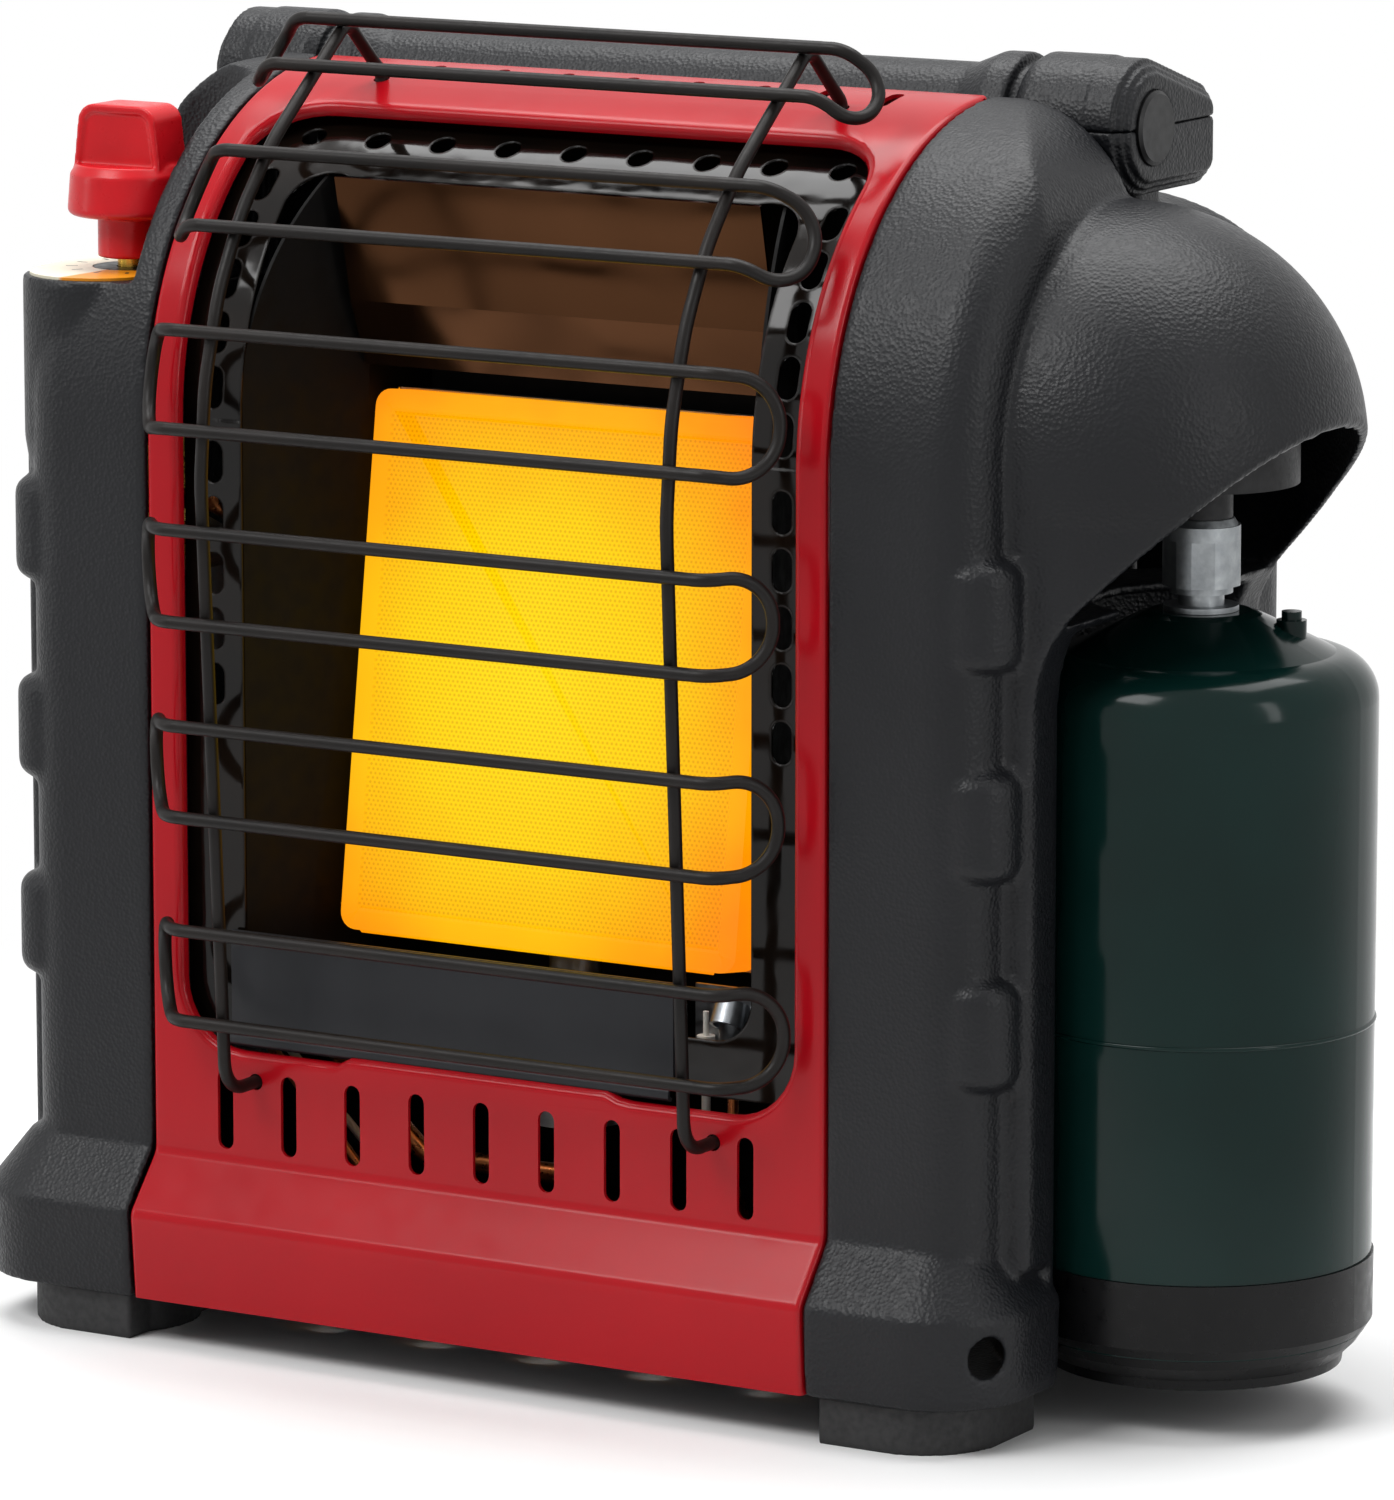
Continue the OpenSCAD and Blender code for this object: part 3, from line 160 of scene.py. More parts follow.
# ---------------------------------------------------------------- casings
# The two end casings are injection-moulded polypropylene, charcoal, with a fine leather grain
# from the tool and a small radius on every edge. Each is one moulding screwed to the chassis.
def material(name, base, rough, metal=0.0, shine=0.5):
    """a new material with its shader, and its Object coordinates in metres"""
    m = bpy.data.materials.new(name)
    m.use_nodes = True
    nt = m.node_tree
    b = nt.nodes["Principled BSDF"]
    b.inputs["Base Color"].default_value = lin(base)
    b.inputs["Roughness"].default_value = rough
    b.inputs["Metallic"].default_value = metal
    b.inputs["Specular IOR Level"].default_value = shine
    return m, nt, b, add(nt, "TexCoord").outputs["Object"]


def ramp(nt, fac, *stops):
    """a colour ramp; its stops are (place, sRGB code or grey value)"""
    n = add(nt, "ValToRGB", links={"Fac": fac})
    while len(n.color_ramp.elements) < len(stops):
        n.color_ramp.elements.new(0.5)
    for e, (p, c) in zip(n.color_ramp.elements, stops):
        e.position = p
        e.color = lin(c) if isinstance(c, str) else (c, c, c, 1)
    return n.outputs["Color"]


def lumps(nt, co, mm, detail=3.0):
    """noise whose lumps are about that many millimetres across"""
    return add(nt, "TexNoise",
               links={"Vector": co, "Scale": 1000 / mm, "Detail": detail}).outputs["Fac"]


def tint(nt, b, fac, *stops):
    """base colour that wanders between the stops"""
    nt.links.new(ramp(nt, fac, *stops), b.inputs["Base Color"])


def dull(nt, b, fac, low, high):
    """roughness that wanders between two values"""
    r = add(nt, "MapRange", links={"Value": fac, "From Min": 0.3, "From Max": 0.7,
                                   "To Min": low, "To Max": high})
    nt.links.new(r.outputs["Result"], b.inputs["Roughness"])


def relief(nt, b, height, mm, strength=1.0, under=None):
    """bumps of that many millimetres"""
    links = {"Height": height, "Distance": mm / 1000, "Strength": strength}
    if under:
        links["Normal"] = under
    n = add(nt, "Bump", links=links).outputs["Normal"]
    nt.links.new(n, b.inputs["Normal"])
    return n


def pick(piece):
    """selects that piece alone"""
    bpy.ops.object.select_all(action="DESELECT")
    piece.select_set(True)
    bpy.context.view_layer.objects.active = piece


def work(piece, name, kind, **settings):
    """one modifier on the picked piece, applied"""
    step = piece.modifiers.new(name, kind)
    for k, v in settings.items():
        setattr(step, k, v)
    bpy.ops.object.modifier_apply(modifier=name)


def moulded(name, body, mesh_mm, rounds, finish):
    """a piece in place of the node, with the soft edges that its mould gives it"""
    piece = bpy.data.objects.new(name + "_moulding", nodes[name].data.copy())
    bpy.context.scene.collection.objects.link(piece)
    pick(piece)
    bpy.ops.object.mode_set(mode="EDIT")
    bpy.ops.mesh.select_all(action="SELECT")
    bpy.ops.mesh.remove_doubles(threshold=1e-6)
    bpy.ops.object.mode_set(mode="OBJECT")
    work(piece, "skin", "REMESH", mode="VOXEL", voxel_size=mesh_mm / 1000)
    work(piece, "soften", "SMOOTH", factor=0.5, iterations=rounds)
    most = 90000
    if len(piece.data.polygons) > most:
        work(piece, "thin", "DECIMATE", ratio=most / len(piece.data.polygons))
    bpy.ops.object.shade_smooth()
    piece.data.materials.clear()
    piece.data.materials.append(finish)
    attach(piece, body)
    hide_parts(name)


m, nt, b, co = material("leather_grain_moulded_polypropylene", "141518", 0.36, shine=0.25)
tint(nt, b, lumps(nt, co, 55), (0.3, "101114"), (0.7, "151619"))
# the leather grain: pebbles about a millimetre across, 0.2 mm high, with fine pores
pebble = add(nt, "TexVoronoi", {"feature": "SMOOTH_F1"},
             {"Vector": co, "Scale": 900.0, "Smoothness": 0.3,
              "Randomness": 1.0}).outputs["Distance"]
pore = lumps(nt, co, 0.5, 2)
dull(nt, b, lumps(nt, co, 2.5, 2), 0.36, 0.46)
relief(nt, b, pore, 0.04, 0.5, relief(nt, b, pebble, 0.22, 0.8))
casing_finish = m
moulded("left_casing", "heater", 1.25, 5, casing_finish)
moulded("right_casing", "heater", 1.3, 5, casing_finish)


# ---------------------------------------------------------------- carrying handle
# Two moulded halves of the same grained polypropylene, closed over each other and snapped over
# the pins in the casings' ears. The caps at the ends are smooth black plastic.
def use(m, *names):
    """gives CAD nodes a material"""
    for n in names:
        if not nodes[n].material_slots:
            nodes[n].data.materials.append(m)
        for s in nodes[n].material_slots:
            s.material = m


moulded("handle_upper_half", "handle", 0.7, 2, casing_finish)
moulded("handle_lower_half", "handle", 0.7, 2, casing_finish)
m, nt, b, co = material("satin_black_nylon", "101011", 0.38, shine=0.3)
tint(nt, b, lumps(nt, co, 18), (0.3, "0d0d0e"), (0.7, "141415"))
dull(nt, b, lumps(nt, co, 3), 0.32, 0.46)
relief(nt, b, lumps(nt, co, 0.6), 0.02, 0.4)
use(m, "handle_end_caps", "knob_gland", "tip_switch")


# ---------------------------------------------------------------- front panel
# One pressing of 1.2 mm sheet steel: the flare, two soft bends, the face and the arch over the
# top, with the sides and the opening's edge rolled in; sprayed and stoved in gloss red.
m, nt, b, co = material("gloss_red_stoved_enamel_on_steel", "b00c18", 0.2, shine=0.2)
tint(nt, b, lumps(nt, co, 90), (0.3, "9c0915"), (0.7, "a80c18"))
dull(nt, b, lumps(nt, co, 8), 0.17, 0.24)
relief(nt, b, lumps(nt, co, 2.4, 2), 0.015, 0.4)
red_enamel = m
arch, spring, sill = 96, 268, 87  # mm: the arch's radius, where it starts, and the opening's sill


def rounded(points, radii):
    """the path with its corners rounded to those radii, six steps to a corner"""
    out = [Vector(points[0])]
    for p, q, r, radius in zip(points, points[1:], points[2:], radii):
        p, q, r = Vector(p), Vector(q), Vector(r)
        u, v = (p - q).normalized(), (r - q).normalized()
        half = u.angle(v) / 2
        middle = q + (u + v).normalized() * radius / math.sin(half)
        first = q + u * radius / math.tan(half) - middle
        last = q + v * radius / math.tan(half) - middle
        out += [middle + first.lerp(last, k / 6).normalized() * radius for k in range(7)]
    return out + [Vector(points[-1])]


# the sheet seen from its side, as (depth, height): flare, face, arch and the step behind the arch
side = rounded([(-11.5, 13.6), (-13.5, 39), (0, 55), (0, spring)], (5, 5))
face = len(side) - 2
for a in range(3, 87, 3):
    side.append(Vector((arch - arch * math.cos(math.radians(a)),
                        spring + arch * math.sin(math.radians(a)))))
side += [Vector((90.3, 363.9)), Vector((90.85, 363.2)), Vector((90.9, 352.2))]
run = [0.0]
for p, q in zip(side, side[1:]):
    run.append(run[-1] + (q - p).length)
legs = [(q - p).normalized() for p, q in zip(side, side[1:])]
inward = [Vector((u.y, -u.x)) for u in legs]
inward = [inward[0]] + [(u + v).normalized() for u, v in zip(inward, inward[1:])] + [inward[-1]]


def up_face(z):
    """how far along the sheet that height on the flat face is"""
    return run[face] + z - side[face].y


def round_arch(degrees):
    """how far along the sheet that turn of the arch is"""
    return up_face(spring) + arch * math.radians(degrees)


def formed(x, s, depth):
    """a place on the formed sheet: s along it from its lower edge, depth behind its surface"""
    i = max(k for k in range(len(run) - 1) if k == 0 or run[k] <= s + 1e-6)
    t = (s - run[i]) / (run[i + 1] - run[i])
    yz = side[i].lerp(side[i + 1], t) + inward[i].lerp(inward[i + 1], t).normalized() * depth
    return at(x, yz.x, yz.y)


def ring(grow):
    """the outline of the opening, grown by that much; the middle of the sill stands 2 mm higher"""
    x, low, high = 101 + grow, up_face(sill) - grow, round_arch(63.6) + grow
    r, straight, out = 20 + grow, 81, []
    for i in range(41):
        a = straight * (2 * i / 40 - 1)
        lift = 2.2 * max(0.0, min(1.0, (47 - abs(a + 1.5)) / 4))
        out.append((a, low + lift))
    arc = [math.pi / 2 * k / 8 for k in range(9)]
    out += [(x - r + r * math.sin(t), low + r - r * math.cos(t)) for t in arc[1:]]
    out += [(x, low + r + (high - low - 2 * r) * i / 30) for i in range(1, 30)]
    out += [(x - r + r * math.cos(t), high - r + r * math.sin(t)) for t in arc]
    out += [(straight * (1 - 2 * i / 20), high) for i in range(1, 20)]
    out += [(-x + r - r * math.sin(t), high - r + r * math.cos(t)) for t in arc]
    out += [(-x, high - r - (high - low - 2 * r) * i / 30) for i in range(1, 30)]
    out += [(-x + r - r * math.cos(t), low + r - r * math.sin(t)) for t in arc[:-1]]
    return out


def stadium(x, s, w, h):
    """the outline of a slot with round ends"""
    r, arc = w / 2, [math.pi * k / 8 for k in range(9)]
    return ([(x - r * math.cos(t), s + h / 2 - r + r * math.sin(t)) for t in arc]
            + [(x + r * math.cos(t), s - h / 2 + r - r * math.sin(t)) for t in arc])


# the flat blank: its edge, the opening, nine air slots below and above it, four guard holes
roll, edge_roll, wide, top = 2.7, 1.8, 111.45, run[-1]
flat_x, slot_pitch, upright_x = wide - edge_roll, 21.6, 76
outlines = [[(-flat_x, 0), (flat_x, 0), (flat_x, top), (-flat_x, top)], ring(roll)]
outlines += [stadium((i - 4) * slot_pitch, up_face(69.8), 5.3, 23.5) for i in range(9)]
outlines += [stadium((i - 4) * slot_pitch, round_arch(79.8), 4, 13) for i in range(9)]
outlines += [stadium(sx * upright_x, up_face(78.9), 4.7, 4.8) for sx in (-1, 1)]
outlines += [stadium(sx * upright_x, round_arch(74.3), 4.7, 4.8) for sx in (-1, 1)]
blank = bpy.data.curves.new("blank", "CURVE")
blank.dimensions, blank.fill_mode = "2D", "BOTH"
for points in outlines:
    line = blank.splines.new("POLY")
    line.points.add(len(points) - 1)
    for p, q in zip(line.points, points):
        p.co = (q[0], q[1], 0, 1)
    line.use_cyclic_u = True
sheet = bpy.data.objects.new("blank", blank)
bpy.context.scene.collection.objects.link(sheet)
pick(sheet)
bpy.ops.object.convert(target="MESH")
sheet = bpy.context.object
bm = bmesh.new()
bm.from_mesh(sheet.data)
for f in bm.faces:
    if f.normal.z < 0:
        f.normal_flip()


def skirt(rows):
    """quads between rows of points that have as many points each"""
    made = [[bm.verts.new(p) for p in row] for row in rows]
    for a, c in zip(made, made[1:]):
        for k in range(len(a) if len(a) > 2 else 1):
            n = (k + 1) % len(a)
            bm.faces.new((a[k], a[n], c[n], c[k]))


# the opening's edge and the two sides are rolled in a quarter turn and end in a short straight leg
turns = [math.pi / 2 * k / 5 for k in range(6)]
rows = [[(x, s, roll - roll * math.cos(t)) for x, s in ring(roll - roll * math.sin(t))]
        for t in turns]
rows.append([(x, s, roll + 0.8) for x, s in ring(0)])
skirt(rows)
for sx in (-1, 1):
    rows = [[(sx * (flat_x + edge_roll * math.sin(t)), s, edge_roll - edge_roll * math.cos(t))
             for s in ((0, top) if sx > 0 else (top, 0))] for t in turns]
    rows.append([(sx * wide, s, 3.4) for s in ((0, top) if sx > 0 else (top, 0))])
    skirt(rows)
bmesh.ops.remove_doubles(bm, verts=bm.verts, dist=1e-3)
# cut at every step of the side view, and bent to it
for s in run[1:-1]:
    bmesh.ops.bisect_plane(bm, geom=bm.verts[:] + bm.edges[:] + bm.faces[:], dist=1e-4,
                           plane_co=(0, s, 0), plane_no=(0, 1, 0))
for v in bm.verts:
    v.co = formed(*v.co)
bmesh.ops.recalc_face_normals(bm, faces=bm.faces)
front = max(bm.faces, key=lambda f: f.calc_area())
if front.normal.y > 0:
    bmesh.ops.reverse_faces(bm, faces=bm.faces)
bm.to_mesh(sheet.data)
bm.free()
sheet.name = "pressed_panel"
work(sheet, "gauge", "SOLIDIFY", thickness=0.0012, offset=-1)
bpy.ops.object.shade_smooth_by_angle(angle=math.radians(32))
work(sheet, "level faces", "WEIGHTED_NORMAL", keep_sharp=True)
sheet.data.materials.clear()
sheet.data.materials.append(red_enamel)
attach(sheet, "heater")
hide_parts("front_panel")


# ---------------------------------------------------------------- chassis sheets
# Back panel, base pan, combustion box and shield are folded mild steel with a black heat-proof
# coat, slightly dusty; the shield in front of the burner is cleaner and a shade greyer.
m, nt, b, co = material("black_heatproof_coated_sheet", "121112", 0.5, shine=0.2)
tint(nt, b, lumps(nt, co, 25), (0.3, "070606"), (0.7, "100f0f"))
dull(nt, b, lumps(nt, co, 5), 0.42, 0.6)
relief(nt, b, lumps(nt, co, 1.2), 0.03, 0.5)
use(m, "back_panel", "base_pan")


def made(bm, name):
    """a new piece of that mesh code, picked"""
    mesh = bpy.data.meshes.new(name)
    bm.to_mesh(mesh)
    bm.free()
    piece = bpy.data.objects.new(name, mesh)
    bpy.context.scene.collection.objects.link(piece)
    pick(piece)
    return piece


# folded strips at the back panel's sides stand against the casings, so no light shows between
for sx, word in ((-1, "left"), (1, "right")):
    run = rounded([(104.0, 175.1), (111.15, 175.1), (111.15, 181.6)], (1.4,))
    bm = bmesh.new()
    rows = [[bm.verts.new(at(sx * x, y, z)) for x, y in run] for z in (19.5, 112, 206, 300)]
    for a, c in zip(rows, rows[1:]):
        for k in range(len(run) - 1):
            bm.faces.new((a[k], a[k + 1], c[k + 1], c[k])[::sx])
    strip = made(bm, "edge_strip_" + word)
    work(strip, "gauge", "SOLIDIFY", thickness=0.0009, offset=0)
    bpy.ops.object.shade_smooth_by_angle(angle=math.radians(35))
    strip.data.materials.append(m)
    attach(strip, "heater")
# inside the box the same coat is coloured darker, as painted shade in the recess, and is duller
m, nt, b, co = material("heatproof_coated_sheet_with_painted_shade", "080707", 0.6, shine=0.12)
tint(nt, b, lumps(nt, co, 25), (0.3, "040404"), (0.7, "0c0a09"))
dull(nt, b, lumps(nt, co, 5), 0.5, 0.7)
relief(nt, b, lumps(nt, co, 1.2), 0.03, 0.5)
use(m, "combustion_box")
m, nt, b, co = material("satin_grey_black_coated_shield", "1c1d20", 0.42, shine=0.22)
tint(nt, b, lumps(nt, co, 30), (0.3, "191a1d"), (0.7, "202124"))
dull(nt, b, lumps(nt, co, 4), 0.36, 0.48)
relief(nt, b, lumps(nt, co, 0.7), 0.02, 0.5)
# the shield hangs in front of the surround, and its lower edge is rolled forward over the sill
fold = rounded([(4.9, 121.4), (4.9, 93.2), (2.2, 91.2), (2.2, 88.9), (4.0, 87.9)], (2.2, 1.6, 1.0))
bm = bmesh.new()
left_x, right_x = -87.2, 60.2
cols = [left_x + (right_x - left_x) * i / 12 for i in range(13)]
grid = [[bm.verts.new(at(x, y, z)) for y, z in fold] for x in cols]
for a, c in zip(grid, grid[1:]):
    for k in range(len(fold) - 1):
        bm.faces.new((a[k], a[k + 1], c[k + 1], c[k]))
bmesh.ops.recalc_face_normals(bm, faces=bm.faces)
if max(bm.faces, key=lambda f: f.calc_area()).normal.y > 0:
    bmesh.ops.reverse_faces(bm, faces=bm.faces)
shield = made(bm, "folded_shield")
work(shield, "gauge", "SOLIDIFY", thickness=0.0011, offset=-1)
work(shield, "sheared edge", "BEVEL", width=0.0003, segments=2, limit_method="ANGLE",
     angle_limit=math.radians(60))
bpy.ops.object.shade_smooth_by_angle(angle=math.radians(35))
shield.data.materials.append(m)
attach(shield, "heater")
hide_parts("shield_plate")


# ---------------------------------------------------------------- guard
# Six loops and two uprights of bent 3.8 mm steel wire, spot-welded to each other, with a dark coat
# that the heat has browned.
m, nt, b, co = material("heat_browned_wire_coat", "14110f", 0.42, shine=0.18)
tint(nt, b, lumps(nt, co, 30), (0.3, "100e0d"), (0.7, "1a1614"))
dull(nt, b, lumps(nt, co, 3), 0.34, 0.48)
relief(nt, b, lumps(nt, co, 0.8), 0.02, 0.6)
use(m, *["guard_loop_%d" % i for i in range(1, 7)], "guard_upright_left", "guard_upright_right")


# ---------------------------------------------------------------- enamel surround and reflector
# The surround is a deep-drawn pressing in black vitreous enamel: a glassy, slightly wavy skin that
# mirrors the room. The reflector above the burner is polished steel, gone brown with heat.
m, nt, b, co = material("black_vitreous_enamel", "0a0807", 0.08, shine=0.25)
tint(nt, b, lumps(nt, co, 40), (0.35, "080605"), (0.7, "150e09"))
dull(nt, b, lumps(nt, co, 6), 0.05, 0.12)
relief(nt, b, lumps(nt, co, 13, 1), 0.6, 0.4,
       add(nt, "Bevel", {"samples": 6}, {"Radius": 0.0012}).outputs["Normal"])
use(m, "enamel_surround")
# broad brown clouds and slow waves, as thin polished sheet gets above a flame
m, nt, b, co = material("heat_tinted_polished_steel", "5a3c28", 0.14, 1.0)
tint(nt, b, lumps(nt, co, 70, 1), (0.3, "402818"), (0.7, "563824"))
dull(nt, b, lumps(nt, co, 25, 1), 0.1, 0.2)
relief(nt, b, lumps(nt, co, 45, 1), 1.2, 0.4)
use(m, "polished_reflector")


# ---------------------------------------------------------------- burner tile
# A pressed cordierite plate pierced with thousands of small holes, leaning back in its frame. It
# glows yellow where the flame is hottest and orange towards its cool, solid rim.
foot = Vector((0, 29, 120))
lean = math.radians(8)
w, h, t = 131.6, 155.6, 12.9
bpy.ops.object.select_all(action="DESELECT")
bpy.ops.mesh.primitive_cube_add(size=1)
tile = bpy.context.object
tile.name = "glowing_tile"
tile.data.transform(Matrix.Diagonal((w / 1000, t / 1000, h / 1000, 1)))
bpy.ops.object.mode_set(mode="EDIT")
bpy.ops.mesh.select_all(action="DESELECT")
bm = bmesh.from_edit_mesh(tile.data)
for e in bm.edges:
    e.select_set(abs(e.verts[0].co.y - e.verts[1].co.y) > 0.001)
bmesh.update_edit_mesh(tile.data)
bpy.ops.mesh.bevel(offset=0.005, segments=6)
bpy.ops.mesh.select_all(action="DESELECT")
bm = bmesh.from_edit_mesh(tile.data)
for f in bm.faces:
    f.select_set(f.normal.y < -0.9)
bmesh.update_edit_mesh(tile.data)
bpy.ops.mesh.inset(thickness=0.0055)
bpy.ops.mesh.inset(thickness=0.0008, depth=-0.0007)
bpy.ops.object.mode_set(mode="OBJECT")
work(tile, "pressed edge", "BEVEL", width=0.0006, segments=3, limit_method="ANGLE",
     angle_limit=math.radians(50))
tile.data.transform(Matrix.Translation(at(*foot)) @ Matrix.Rotation(-lean, 4, "X")
                    @ Matrix.Translation((0, t / 2000, h / 2000)))
tile.location = (0, 0, 0)
bpy.ops.object.shade_smooth_by_angle(angle=math.radians(35))
# the broad faces stay flat, and only the small ones at the edges are smooth
for f in tile.data.polygons:
    f.use_smooth = f.area < 0.0001
m, nt, b, co = material("glowing_pierced_cordierite", "4a2a10", 0.8, shine=0.2)
centre = at(*foot) + Matrix.Rotation(-lean, 3, "X") @ Vector((0, 0, h / 2000))
# the glow, from the hottest place a little left of the middle, with a ragged edge
flat = add(nt, "Mapping", {"vector_type": "TEXTURE"},
           {"Vector": co, "Location": centre, "Rotation": (-lean, 0, 0)}).outputs["Vector"]
spread = add(nt, "VectorMath", {"operation": "MULTIPLY"},
             {0: flat, 1: (1000 / (w / 2), 0, 1000 / (h / 2))}).outputs["Vector"]
low = add(nt, "VectorMath", {"operation": "ADD"},
          {0: spread, 1: (0.12, 0, 0.05)}).outputs["Vector"]
out = add(nt, "VectorMath", {"operation": "LENGTH"}, {0: low}).outputs["Value"]
ragged = add(nt, "Math", {"operation": "MULTIPLY_ADD"},
             {0: lumps(nt, co, 28, 2), 1: 0.35, 2: -0.17}).outputs[0]
heat = add(nt, "Math", {"operation": "ADD"}, {0: out, 1: ragged}).outputs[0]
heat = add(nt, "Math", {"operation": "MULTIPLY"}, {0: heat, 1: 0.66}).outputs[0]
glow = ramp(nt, heat, (0.0, "ffdc0c"), (0.4, "ffd000"), (0.62, "ffb800"), (0.84, "ff9600"),
            (1.0, "ff8010"))
# the holes stand in a triangular net, 1.5 mm apart (the real 1.2 mm would not show)
pitch, row = 0.0015, 0.0015 * 0.866
one = add(nt, "VectorMath", {"operation": "MULTIPLY"}, {0: flat, 1: (1, 0, 1)}).outputs["Vector"]
near = []
for shift in ((0, 0, 0), (pitch / 2, 0, row)):
    moved = add(nt, "VectorMath", {"operation": "ADD"}, {0: one, 1: shift}).outputs["Vector"]
    cell = add(nt, "VectorMath", {"operation": "WRAP"},
               {0: moved, 1: (pitch / 2, 1, row), 2: (-pitch / 2, -1, -row)}).outputs["Vector"]
    near.append(add(nt, "VectorMath", {"operation": "LENGTH"}, {0: cell}).outputs["Value"])
hole = add(nt, "Math", {"operation": "MINIMUM"}, {0: near[0], 1: near[1]}).outputs[0]
pierced = add(nt, "MapRange", links={"Value": hole, "From Min": 0.0003, "From Max": 0.0006,
                                     "To Min": 0.74, "To Max": 1.0}).outputs["Result"]
# no holes in the solid rim
apart = add(nt, "VectorMath", {"operation": "ABSOLUTE"}, {0: spread}).outputs["Vector"]
xyz = add(nt, "SeparateXYZ", links={0: apart})
rim = add(nt, "Math", {"operation": "MAXIMUM"},
          {0: xyz.outputs["X"], 1: xyz.outputs["Z"]}).outputs[0]
solid = add(nt, "MapRange",
            links={"Value": rim, "From Min": 0.905, "From Max": 0.925}).outputs["Result"]
dots = add(nt, "Mix", links={"Factor": solid, 2: pierced, 3: 0.96}).outputs[0]
lit = add(nt, "VectorMath", {"operation": "SCALE"}, {0: glow, "Scale": dots}).outputs["Vector"]
nt.links.new(lit, b.inputs["Emission Color"])
b.inputs["Emission Strength"].default_value = 1.05
tile.data.materials.append(m)
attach(tile, "heater")
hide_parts("burner_tile")
# the gasket behind it is felted ceramic fibre, dead matt
m, nt, b, co = material("white_ceramic_fibre_gasket", "cfc9bd", 0.95)
tint(nt, b, lumps(nt, co, 6), (0.3, "c2bcae"), (0.7, "dad5ca"))
relief(nt, b, lumps(nt, co, 0.7), 0.1, 0.7)
use(m, "tile_gasket")


# ---------------------------------------------------------------- burner, valve and pipes
# Zinc-plated steel brackets, plenum and pins; blackened steel screws; turned brass fittings;
# drawn copper pipe; and a white moulded igniter with its lead and electrode.
m, nt, b, co = material("zinc_plated_steel", "9a9ea2", 0.35, 1.0)
tint(nt, b, lumps(nt, co, 12), (0.3, "8c9094"), (0.7, "aaaeb2"))
dull(nt, b, lumps(nt, co, 2), 0.28, 0.45)
use(m, "valve_bracket", "venturi", "burner_plenum", "pilot_assembly", "thermocouple", "swivel_pin",
    "handle_pivot_pins", "stem_spring")
# the valve's return spring closes up by the 2.5 mm that the knob is pressed; here it only has its
# bounds read and gets a mesh of its own
low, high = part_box("stem_spring")
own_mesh(nodes["stem_spring"])
m, nt, b, co = material("blackened_steel_screw", "2a2a2b", 0.42, 0.8)
tint(nt, b, lumps(nt, co, 2), (0.3, "242425"), (0.7, "323233"))
dull(nt, b, lumps(nt, co, 1), 0.36, 0.5)
use(m, "casing_screws", "back_screws")
m, nt, b, co = material("turned_brass", "b8923c", 0.25, 1.0)
tint(nt, b, lumps(nt, co, 9), (0.3, "a9842f"), (0.7, "c6a24d"))
dull(nt, b, lumps(nt, co, 1.5), 0.18, 0.32)
use(m, "valve_stem", "gas_valve", "burner_orifice")
m, nt, b, co = material("drawn_copper_tube", "b4693a", 0.3, 1.0)
tint(nt, b, lumps(nt, co, 14), (0.3, "9c5730"), (0.7, "c47a48"))
dull(nt, b, lumps(nt, co, 2), 0.22, 0.4)
use(m, "inlet_pipe", "burner_pipe", "pilot_pipe")
m, nt, b, co = material("white_moulded_igniter_body", "e4e1d8", 0.35)
tint(nt, b, lumps(nt, co, 8), (0.3, "dcd8cd"), (0.7, "ebe8e0"))
dull(nt, b, lumps(nt, co, 2), 0.28, 0.42)
use(m, "igniter_plunger", "piezo_igniter", "spark_electrode", "igniter_lead")


# ---------------------------------------------------------------- regulator and swivel
# Die-cast zinc: the inlet nut and the cylinder's valve are shot-blasted to a frosted grey. The
# regulator and its swivel are the same grey zinc, coloured nearly black here as painted shade.
m, nt, b, co = material("shot_blasted_die_cast_zinc", "8f9396", 0.42, 1.0)
tint(nt, b, lumps(nt, co, 5), (0.3, "84888b"), (0.7, "9ea2a4"))
dull(nt, b, lumps(nt, co, 1.2), 0.36, 0.52)
relief(nt, b, lumps(nt, co, 0.5), 0.05, 0.5)
use(m, "inlet_nut", "cylinder_valve")
# painted shade: the regulator's grey zinc is coloured nearly black
m, nt, b, co = material("grey_die_cast_zinc_with_painted_shade", "1d1d1e", 0.5, 0.6)
tint(nt, b, lumps(nt, co, 5), (0.3, "19191a"), (0.7, "242425"))
dull(nt, b, lumps(nt, co, 1.2), 0.42, 0.58)
relief(nt, b, lumps(nt, co, 0.5), 0.05, 0.5)
use(m, "swivel_block", "regulator_body", "regulator_cover")


# ---------------------------------------------------------------- control knob and dial
# A gloss red knob, moulded in ABS, on a cream printed dial that is stuck in the casing's deck.
m, nt, b, co = material("gloss_red_moulded_abs", "c40c18", 0.3, shine=0.3)
tint(nt, b, lumps(nt, co, 20), (0.3, "bc0a16"), (0.7, "cc101c"))
dull(nt, b, lumps(nt, co, 3), 0.26, 0.36)
moulded("control_knob", "knob", 0.5, 4, m)
m, nt, b, co = material("printed_cream_dial_film", "e5dfc8", 0.4)
# an orange sector for the heating range, and a ring of ticks 15 degrees apart round the knob
axis = at(-141, 37, 0)
round_knob = add(nt, "VectorMath", {"operation": "SUBTRACT"}, {0: co, 1: axis}).outputs["Vector"]
xyz = add(nt, "SeparateXYZ", links={0: round_knob})
angle = add(nt, "Math", {"operation": "ARCTAN2"},
            {0: xyz.outputs["Y"], 1: xyz.outputs["X"]}).outputs[0]
part = add(nt, "MapRange",
           links={"Value": angle, "From Min": -math.pi, "From Max": math.pi}).outputs["Result"]
fill = ramp(nt, part, (0.0, "e5dfc8"), (0.235, "e5dfc8"), (0.24, "e08a00"), (0.62, "f0a21a"),
            (0.625, "e5dfc8"))
step = add(nt, "Math", {"operation": "PINGPONG"}, {0: angle, 1: math.pi / 12}).outputs[0]
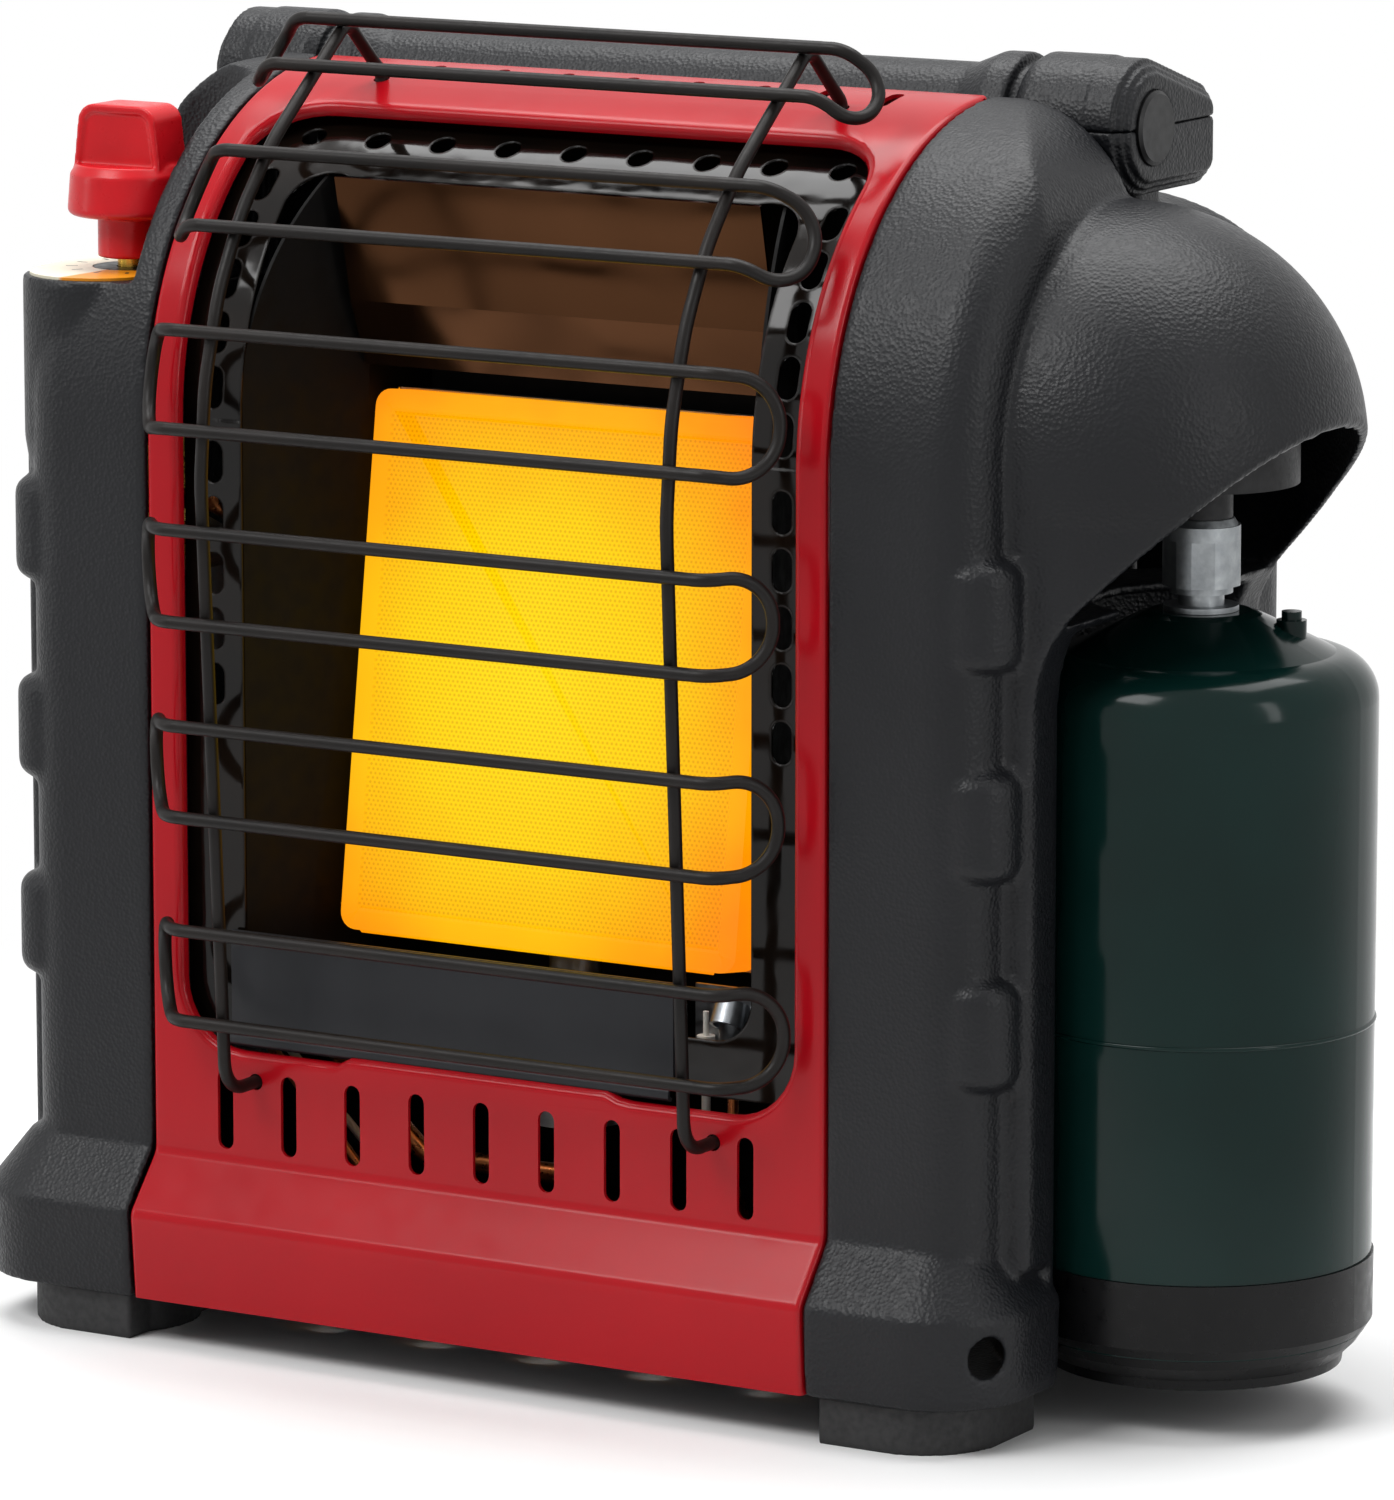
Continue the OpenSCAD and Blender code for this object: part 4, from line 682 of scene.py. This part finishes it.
tick = add(nt, "Math", {"operation": "LESS_THAN"}, {0: step, 1: 0.03}).outputs[0]
flat_out = add(nt, "VectorMath", {"operation": "MULTIPLY"},
               {0: round_knob, 1: (1, 1, 0)}).outputs["Vector"]
reach = add(nt, "VectorMath", {"operation": "LENGTH"}, {0: flat_out}).outputs["Value"]
outer = add(nt, "Math", {"operation": "GREATER_THAN"}, {0: reach, 1: 0.0155}).outputs[0]
inner = add(nt, "Math", {"operation": "LESS_THAN"}, {0: reach, 1: 0.019}).outputs[0]
ink = add(nt, "Math", {"operation": "MULTIPLY"}, {0: tick, 1: outer}).outputs[0]
ink = add(nt, "Math", {"operation": "MULTIPLY"}, {0: ink, 1: inner}).outputs[0]
print_on = add(nt, "Mix", {"data_type": "RGBA"}, {"Factor": ink, 6: fill, 7: lin("2a2622")})
nt.links.new(print_on.outputs[2], b.inputs["Base Color"])
use(m, "deck_dial")


# ---------------------------------------------------------------- feet and seal
# Moulded black rubber, matt, with softened corners, screwed up into the casings.
m, nt, b, co = material("matt_black_rubber", "151516", 0.7)
tint(nt, b, lumps(nt, co, 10), (0.3, "121213"), (0.7, "1b1b1c"))
dull(nt, b, lumps(nt, co, 2), 0.6, 0.8)
relief(nt, b, lumps(nt, co, 0.6), 0.04, 0.5)
for end in ("front_left", "front_right", "rear_left", "rear_right"):
    moulded("foot_" + end, "heater", 0.7, 3, m)
use(m, "inlet_seal")


# ---------------------------------------------------------------- gas cylinder
# A drawn steel shell for a pound of propane, in deep green enamel with a high gloss, standing in
# a moulded black plastic cup.
m, nt, b, co = material("deep_green_gloss_enamel_on_steel", "04201c", 0.14, shine=0.18)
tint(nt, b, lumps(nt, co, 70), (0.3, "041c19"), (0.7, "062421"))
dull(nt, b, lumps(nt, co, 10), 0.12, 0.19)
relief(nt, b, lumps(nt, co, 3, 2), 0.02, 0.4)
use(m, "cylinder_shell", "relief_valve")
m, nt, b, co = material("gloss_black_polyethylene_cup", "0e0e0f", 0.3, shine=0.18)
tint(nt, b, lumps(nt, co, 20), (0.3, "060607"), (0.7, "0c0c0d"))
dull(nt, b, lumps(nt, co, 4), 0.24, 0.38)
relief(nt, b, lumps(nt, co, 1.5), 0.02, 0.4)
use(m, "cylinder_base")
